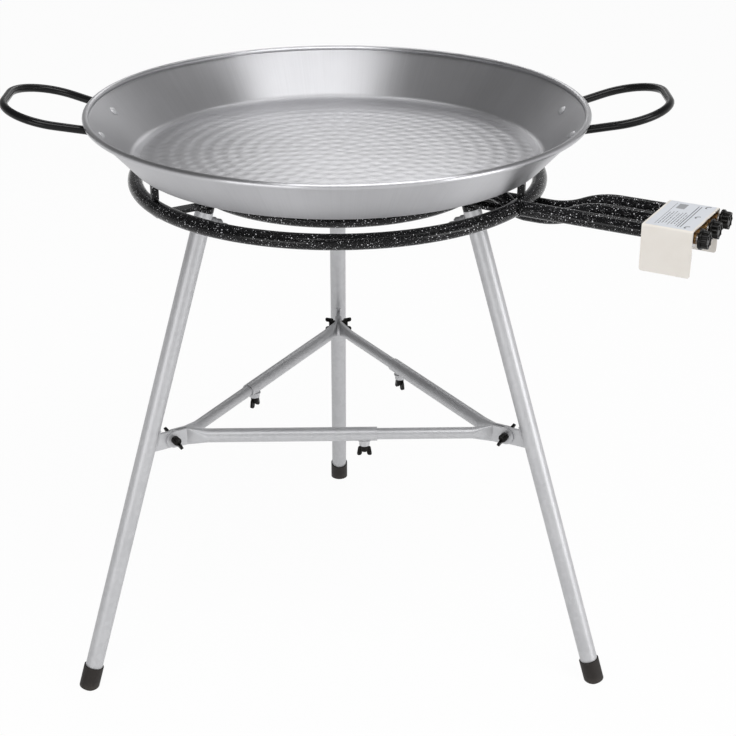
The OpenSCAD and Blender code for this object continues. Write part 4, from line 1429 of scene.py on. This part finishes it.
@dataclass
class PaellaPan:
    """The spun pan with its two bent handles."""

    axis: Vector = field(default_factory=Vector)
    base_r: float = 0.288
    rise: float = 0.067
    top_r: float = 0.350
    bead_r: float = 0.0045
    bar_r: float = 0.00575
    rim_gap: float = 0.0008
    reach: float = 0.138
    rivet_y: float = 0.061
    corner_r: float = 0.062
    flare: float = math.radians(17.0)
    tilt: float = math.radians(13.5)
    turn: float = math.radians(29.0)
    rivet_z: float = 0.041
    pad_r: float = 0.012
    pad_t: float = 0.005
    pad_gap: float = 0.0001
    pad_round: float = 0.0018
    pad_sides: int = 40
    bar_sides: int = 32
    corner_steps: int = 16

    def pad(self) -> bpy.types.Object:
        """Models one flattened end at the origin, with its rounded face to +Z."""
        mid_z = self.pad_t / 2 + self.pad_gap
        pad = rod("pad", self.pad_r, self.pad_t, mid_z, self.pad_sides)
        with editing(pad):
            top = self.pad_t * 0.9
            ease(pad, lambda co, way: co.z > top and is_level(way), self.pad_round, 4)
        return pad

    def handle(self, name: str, turn: float, pad: bpy.types.Object) -> bpy.types.Object:
        """Models one handle: a bar bent by hand, with a flattened pad at each end.

        Args:
            name: The piece's name.
            turn: The handle's direction from the burner's axis.
            pad: The pad to copy.

        Returns:
            The handle.
        """
        wall = math.atan2(self.rise - self.bead_r, self.top_r - self.bead_r - self.base_r)
        wall_r = self.base_r + self.rivet_z / math.tan(wall)
        rivet_turn = math.asin(self.rivet_y / wall_r)
        start_y = self.rivet_y + self.pad_t / 2 * math.sin(wall) * math.sin(rivet_turn)
        corner_x = self.reach - self.corner_r
        corner_y = start_y + corner_x * math.tan(self.flare) - self.corner_r / math.cos(self.flare)
        straight = (corner_x - self.corner_r * math.sin(self.flare)) / math.cos(self.flare)
        start = (0.0, start_y, 0.0)
        bar = disc(name, self.bar_r, self.bar_sides, True, start, (0.0, QUARTER, self.flare))
        out, up = math.cos(self.flare), math.sin(self.flare)
        sweep = math.pi / 2 + self.flare
        with editing(bar):
            draw_out((straight * out, straight * up, 0.0))
            bend(sweep, (corner_x, corner_y, 0.0), (0.0, 0.0, -1.0), self.corner_steps)
            draw_out((0.0, -2 * corner_y, 0.0))
            bend(sweep, (corner_x, -corner_y, 0.0), (0.0, 0.0, -1.0), self.corner_steps)
            draw_out((-straight * out, straight * up, 0.0))
        close_up(bar)
        spin = Matrix.Translation(self.axis) @ Matrix.Rotation(turn, 4, "Z")
        seat_x = wall_r * math.cos(rivet_turn) + self.pad_t / 2 * math.sin(wall)
        rim_x = math.sqrt((self.top_r - self.bead_r) ** 2 - start_y**2) - seat_x
        under = (self.bead_r + self.bar_r + self.rim_gap) / math.cos(self.tilt)
        seat_z = self.rise - self.bead_r - under - rim_x * math.tan(self.tilt)
        place = Matrix.Translation((seat_x, 0.0, seat_z)) @ Matrix.Rotation(-self.tilt, 4, "Y")
        bar.matrix_world = spin @ place
        settle(bar)
        parts = [bar]
        for side in Side:
            around = Matrix.Rotation(turn + side.value * rivet_turn, 4, "Z")
            flank = Matrix.Rotation(turn, 3, "Z") @ Vector((0.0, side.value, 0.0))

            def on_flank(co: Vector, _: Vector, flank: Vector = flank) -> bool:
                """Whether a face lies on this side of the handle."""
                return (co - self.axis).dot(flank) > 0.01

            with editing(bar):
                pick(bar, Element.FACE, on_flank)
                bpy.ops.mesh.bisect(
                    plane_co=self.axis + around @ Vector((wall_r, 0.0, self.rivet_z)),
                    plane_no=around @ Vector((math.sin(wall), 0.0, -math.cos(wall))),
                    use_fill=True,
                    clear_inner=True,
                )
            seat = Matrix.Translation((wall_r, 0.0, self.rivet_z))
            lean = seat @ Matrix.Rotation(math.pi - wall, 4, "Y")
            parts.append(copied(pad, "pad", Matrix.Translation(self.axis) @ around @ lean))
        return smooth(joined(parts, name), 40.0)

    def build(self) -> None:
        """Models the handles and dresses the pan."""
        low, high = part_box("pan")
        self.axis = Vector(((low.x + high.x) / 2, (low.y + high.y) / 2, low.z))
        pad = self.pad()
        for name, turn in (("right", self.turn), ("left", self.turn + math.pi)):
            bar = self.handle(f"bent_handle_{name}", turn, pad)
            mount(bar, HANDLE_BLACK, "pan", [f"pan_handle_{name}"])
        scrap(pad)
        dress(["pan"], SpunSteel("spun_steel", "pan_steel", centre=tuple(self.axis)))
        dress(["handle_rivets"], ZINC)


@dataclass
class Tripod:
    """Legs, struts, feet and the wing screws that hold them."""

    screw_r: float = 0.004
    screw_sides: int = 28
    stud_l: float = 0.0085
    thread_pitch: float = 0.00125
    thread_core: float = 0.88
    thread_shown: float = 0.003
    hub_r: float = 0.006
    hub_h: float = 0.009
    hub_inset: float = 0.0018
    hub_crown: float = 0.0012
    hub_round: float = 0.0006
    hub_sides: int = 32
    span: float = 0.022
    wing_h: float = 0.016
    wing_low: float = 0.0025
    wing_w: float = 0.0068
    wing_flare: float = 0.0022
    wing_t: float = 0.0045
    wing_corner: float = 0.0028
    wing_inset: float = 0.0009
    wing_dish: float = 0.82
    wing_round: float = 0.0005
    wing_turn: float = math.radians(68.0)
    leg_r: float = 0.0125
    boss_h: float = 0.007
    boss_r: float = 0.0075
    gap: float = 0.0003
    joint_half: float = 0.005
    bolt_end: float = 0.7
    tab_h: float = 0.025
    tab_t: float = 0.004
    tab_run: float = 0.94
    tab_run_r: float = 0.0018
    tab_run_in: float = 0.0003
    tab_run_off: float = 0.0009
    nut_bead_r: float = 0.0014
    nut_bead_off: float = 0.0002
    nut_bead_counts: tuple[int, int] = (40, 8)
    nut_bead_swell: tuple[float, float, float] = (1.02, 1.02, 1.2)

    def grip(self, finish: Finish) -> bpy.types.Object:
        """Models a two-winged grip on +Z, with its seat at the origin.

        Args:
            finish: The grip's finish.

        Returns:
            The grip.
        """
        hub = rod("grip_hub", self.hub_r, self.hub_h, self.hub_h / 2, self.hub_sides)
        with editing(hub):
            pick(hub, Element.FACE, faces_up)
            bpy.ops.mesh.inset(thickness=self.hub_inset)
            draw_out((0.0, 0.0, self.hub_crown))
            half = 0.5 * self.hub_h
            ease(hub, lambda co, way: is_level(way) and co.z > half, self.hub_round, 2)
        parts = [hub]
        size = (self.wing_w, self.wing_t, self.wing_h - self.wing_low)
        for side in Side:
            flare = side.value * self.wing_flare / 2
            out = side.value * (self.span / 2 - self.wing_w / 2 - self.wing_flare / 2)
            paddle = slab("grip_wing", size, (out, 0.0, (self.wing_h + self.wing_low) / 2))
            with editing(paddle):
                pick(paddle, Element.VERT, lambda co, _: co.z > 0.5 * self.wing_h)
                bpy.ops.transform.translate(value=(flare, 0.0, 0.0))
                pick(paddle, Element.VERT, lambda co, _: co.z < 0.5 * self.wing_h)
                bpy.ops.transform.translate(value=(-flare, 0.0, 0.0))
                ease(paddle, lambda _, way: abs(way.y) > 0.9, self.wing_corner, 5)
                pick(paddle, Element.FACE, lambda _, normal: abs(normal.y) > 0.9)
                bpy.ops.mesh.inset(thickness=self.wing_inset, depth=0.0)
                bpy.ops.transform.resize(value=(1.0, self.wing_dish, 1.0))
                ease(paddle, lambda co, _: abs(co.y) > self.wing_t * 0.45, self.wing_round, 2)
            parts.append(paddle)
        master = joined(parts, "grip_master")
        close_up(master)
        return paint(smooth(master, 40.0), finish)

    def shank(self, length: float, threaded: float) -> bpy.types.Object:
        """Models a threaded shank from z = 0 down.

        Args:
            length: The shank's length.
            threaded: Length of thread that shows at its end.

        Returns:
            The shank.
        """
        obj = disc("shank", self.screw_r, self.screw_sides, True)
        pitch, core = self.thread_pitch, self.thread_core
        count = int(threaded / pitch)
        with editing(obj):
            draw_out((0.0, 0.0, -(length - count * pitch)))
            for _ in range(count):
                for share in (core, 1 / core):
                    draw_out((0.0, 0.0, -pitch / 2))
                    bpy.ops.transform.resize(value=(share, share, 1.0))
        close_up(obj)
        return paint(smooth(obj, 30.0), ZINC)

    def screw(
        self, name: str, grip: bpy.types.Object, shank: bpy.types.Object, at: Matrix
    ) -> bpy.types.Object:
        """A grip on a shank, put in its place.

        Args:
            name: The piece's name.
            grip: The grip to copy.
            shank: The shank to copy.
            at: The seat's frame, with +Z towards the grip.

        Returns:
            The screw.
        """
        return joined([copied(grip, name, at), copied(shank, "shank", at)], name)

    def nut_bead(self) -> bpy.types.Object:
        """Models the rippled bead round a welded nut, at the origin."""
        radii = (self.boss_r + self.nut_bead_off, self.nut_bead_r)
        ring = hoop("nut_bead", radii, self.nut_bead_counts)
        step = 360 / self.nut_bead_counts[0]

        def on_ripple(co: Vector, _: Vector) -> bool:
            """Whether a vertex lies on every second step round the bead."""
            return int(math.degrees(math.atan2(co.y, co.x)) // step) % 2 == 0

        with editing(ring):
            pick(ring, Element.VERT, on_ripple)
            bpy.ops.transform.resize(value=self.nut_bead_swell)
        return smooth(ring, 60.0)

    def leg_welds(
        self, i: int, run: bpy.types.Object, bead: bpy.types.Object
    ) -> bpy.types.Object:
        """The runs along a leg's tab and the beads round its nut and its strut's nut.

        Args:
            i: The leg's number.
            run: The run to copy.
            bead: The bead to copy.

        Returns:
            The welds.
        """
        at_leg, out = joint_line(f"leg_screw_turn_{i}")
        _, way = joint_line(f"leg_slip_{i}")
        bolt, _ = joint_line(f"joint_bolt_turn_{i}")
        nut, _ = joint_line(f"strut_screw_turn_{i}")
        side = way.cross(out).normalized()
        edge = at_leg + way * (bolt - at_leg).dot(way) - out * (self.leg_r + self.tab_run_in)
        off = self.tab_t / 2 + self.tab_run_off
        spots = [(run, edge + side * one.value * off, out) for one in Side]
        spots.append((bead, at_leg - out * (self.leg_r - self.nut_bead_off), out))
        spots.append((bead, nut + UP * self.nut_bead_off, UP))
        parts = [copied(weld, "weld", along(spot, axis, side)) for weld, spot, axis in spots]
        return joined(parts, f"leg_welds_{i}")

    def strut_way(self, i: int) -> Vector:
        """The direction of strut i, from its own joint to the next."""
        here, _ = joint_line(f"joint_bolt_turn_{i}")
        there, _ = joint_line(f"joint_bolt_turn_{i % 3 + 1}")
        return (there - here).normalized()

    def build(self) -> None:
        """Models the wing screws and welds, and dresses the solids."""
        grip, metal_grip = self.grip(PLASTIC), self.grip(ZINC)
        reach = self.joint_half + self.gap
        stud = self.shank(self.stud_l, 0.0)
        long_shank = self.shank(2 * reach + self.bolt_end * self.hub_h, self.thread_shown)
        run = WeldBead(self.tab_h * self.tab_run, self.tab_run_r).build("tab_run")
        bead = self.nut_bead()
        for i in NUMBERS:
            spot, out = joint_line(f"leg_screw_turn_{i}")
            _, way = joint_line(f"leg_slip_{i}")
            seat = spot - out * (self.leg_r + self.boss_h + self.gap)
            at = along(seat, -out, way.cross(out))
            screw = self.screw(f"leg_wing_screw_{i}", metal_grip, stud, at)
            fit(screw, f"leg_screw_{i}", [f"leg_screw_{i}"])

            spot, _ = joint_line(f"strut_screw_turn_{i}")
            at = along(spot - UP * (self.boss_h + self.gap), -UP, self.strut_way(i))
            screw = self.screw(f"strut_wing_screw_{i}", grip, stud, at)
            fit(screw, f"strut_screw_{i}", [f"strut_screw_{i}"])

            spot, axis = joint_line(f"joint_bolt_turn_{i}")
            wings = axis.cross(UP) * math.cos(self.wing_turn) + UP * math.sin(self.wing_turn)
            at = along(spot - axis * reach, -axis, wings)
            screw = self.screw(f"joint_wing_bolt_{i}", grip, long_shank, at)
            fit(screw, f"joint_bolt_{i}", [f"joint_bolt_{i}"])
            at = along(spot + axis * reach, axis, wings)
            nut = copied(grip, f"joint_wing_nut_{i}", at)
            fit(nut, f"joint_nut_{i}", [f"joint_nut_{i}"])
            mount(self.leg_welds(i, run, bead), ZINC, f"leg_{i}")
        scrap(grip, metal_grip, stud, long_shank, run, bead)
        dress(numbered("leg", "strut_outer", "strut_inner"), ZINC)
        dress(numbered("foot"), RUBBER)


@dataclass(frozen=True)
class SoftBox:
    """A soft lamp, placed from what it lights: towards the camera, to the right and up."""

    name: str
    near: float
    right: float
    up: float
    size: tuple[float, float]
    watts: float


@dataclass
class Studio:
    """Floor, soft light and the camera at the photo's angle."""

    camera_at: Sequence[float] = (1.1166, -1.9511, 1.4355)
    pitch: float = math.radians(90.0 - 24.53)
    yaw: float = math.radians(28.7)
    focal_px: float = 1665.0
    frame_px: float = 736.0
    sensor: float = 36.0
    clip: tuple[float, float] = (0.05, 100.0)
    white: Sequence[float] = (1.0, 1.0, 1.0, 1.0)
    floor_size: float = 60.0
    floor_tone: Sequence[float] = (0.97, 0.97, 0.97, 1.0)
    floor_glow: float = 0.96
    ceiling: float = 0.14
    ceiling_fall: float = 2.2
    left_share: float = 0.35
    left_to_right: tuple[float, float] = (-0.7, 0.4)
    aim_z: float = 0.55
    lamps: Sequence[SoftBox] = (
        SoftBox("top_box", 1.2, 0.4, 2.2, (2.6, 1.0), 46.0),
        SoftBox("back_box", -1.5, 0.1, 2.5, (1.4, 0.9), 11.0),
        SoftBox("low_box", -2.3, 0.05, 1.35, (0.8, 0.5), 3.0),
        SoftBox("right_box", 1.9, 3.2, -0.1, (1.8, 1.2), 40.0),
        SoftBox("left_box", 2.0, -1.1, -0.05, (1.3, 0.8), 9.0),
    )

    def camera(self) -> None:
        """Sets the camera."""
        data = bpy.data.cameras.new("photo_camera")
        data.sensor_width = self.sensor
        data.lens = self.focal_px / self.frame_px * self.sensor
        data.clip_start, data.clip_end = self.clip
        obj = bpy.data.objects.new("photo_camera", data)
        bpy.context.scene.collection.objects.link(obj)
        obj.location = Vector(self.camera_at) + Vector((middle("outer_ring").x, 0.0, 0.0))
        obj.rotation_euler = (self.pitch, 0.0, self.yaw)
        bpy.context.scene.camera = obj

    def lamp(self, box: SoftBox, aim: Vector) -> None:
        """Adds one soft box that faces a point.

        Args:
            box: The lamp.
            aim: The point.
        """
        near = Vector((math.sin(self.yaw), -math.cos(self.yaw), 0.0))
        right = Vector((math.cos(self.yaw), math.sin(self.yaw), 0.0))
        at = aim + near * box.near + right * box.right + UP * box.up
        data = bpy.data.lights.new(box.name, "AREA")
        data.shape = "RECTANGLE"
        data.size, data.size_y = box.size
        data.energy = box.watts
        obj = bpy.data.objects.new(box.name, data)
        bpy.context.scene.collection.objects.link(obj)
        obj.location = at
        obj.rotation_euler = (aim - at).to_track_quat("-Z", "Y").to_euler()
        obj.visible_camera = False

    def seen(self, graph: Graph) -> Value:
        """One on rays that show a background: from the camera, off gloss and through glass."""
        path = graph.node("ShaderNodeLightPath", {}, {})
        shown = graph.out(path, "Is Camera Ray").apply("MAXIMUM", graph.out(path, "Is Glossy Ray"))
        return shown.apply("MAXIMUM", graph.out(path, "Is Transmission Ray"))

    def floor(self) -> None:
        """Adds the pale floor, which keeps a soft shadow."""
        obj = fresh(bpy.ops.mesh.primitive_plane_add, "floor", size=self.floor_size)
        made = bpy.data.materials.new("pale_floor")
        graph = blank_graph(made)
        matt = graph.node("ShaderNodeBsdfDiffuse", {}, {"Color": self.floor_tone})
        glow = graph.node("ShaderNodeEmission", {}, {"Color": self.white, "Strength": 1.0})
        share = self.floor_glow * self.seen(graph)
        ends = {0: share, 1: graph.out(matt), 2: graph.out(glow)}
        mixed = graph.node("ShaderNodeMixShader", {}, ends)
        graph.node("ShaderNodeOutputMaterial", {}, {"Surface": graph.out(mixed)})
        obj.data.materials.append(made)

    def world(self) -> None:
        """Sets a room that is pale at its horizon, darker overhead and darker to the left."""
        made = bpy.data.worlds.new("pale_room")
        bpy.context.scene.world = made
        graph = blank_graph(made)
        way = graph.out(graph.node("ShaderNodeTexCoord", {}, {}), "Generated")
        x, y, height = graph.axes(way)
        pale = (1.0 - height.apply("MAXIMUM", 0.0)).apply("POWER", self.ceiling_fall)
        rightward = (x * math.cos(self.yaw) + y * math.sin(self.yaw)).ramp(*self.left_to_right)
        side = self.left_share + (1.0 - self.left_share) * rightward
        strength = self.ceiling + (1.0 - self.ceiling) * pale * side
        sockets = {"Color": self.white, "Strength": strength}
        sky = graph.node("ShaderNodeBackground", {}, sockets)
        graph.node("ShaderNodeOutputWorld", {}, {"Surface": graph.out(sky)})

    def build(self) -> None:
        """Sets up camera, floor, world and lamps."""
        bpy.context.scene.view_settings.view_transform = "Standard"
        self.camera()
        self.floor()
        self.world()
        aim = Vector((middle("outer_ring").x, 0.0, self.aim_z))
        for box in self.lamps:
            self.lamp(box, aim)


def main() -> None:
    """Builds the studio and each sub-assembly in order."""
    logging.basicConfig(level=logging.INFO, format="%(name)s: %(message)s")
    for part in (Studio(), Burner(), GasTrain(), PaellaPan(), Tripod()):
        log.info("building %s", type(part).__name__)
        part.build()


if __name__ == "__main__":
    main()
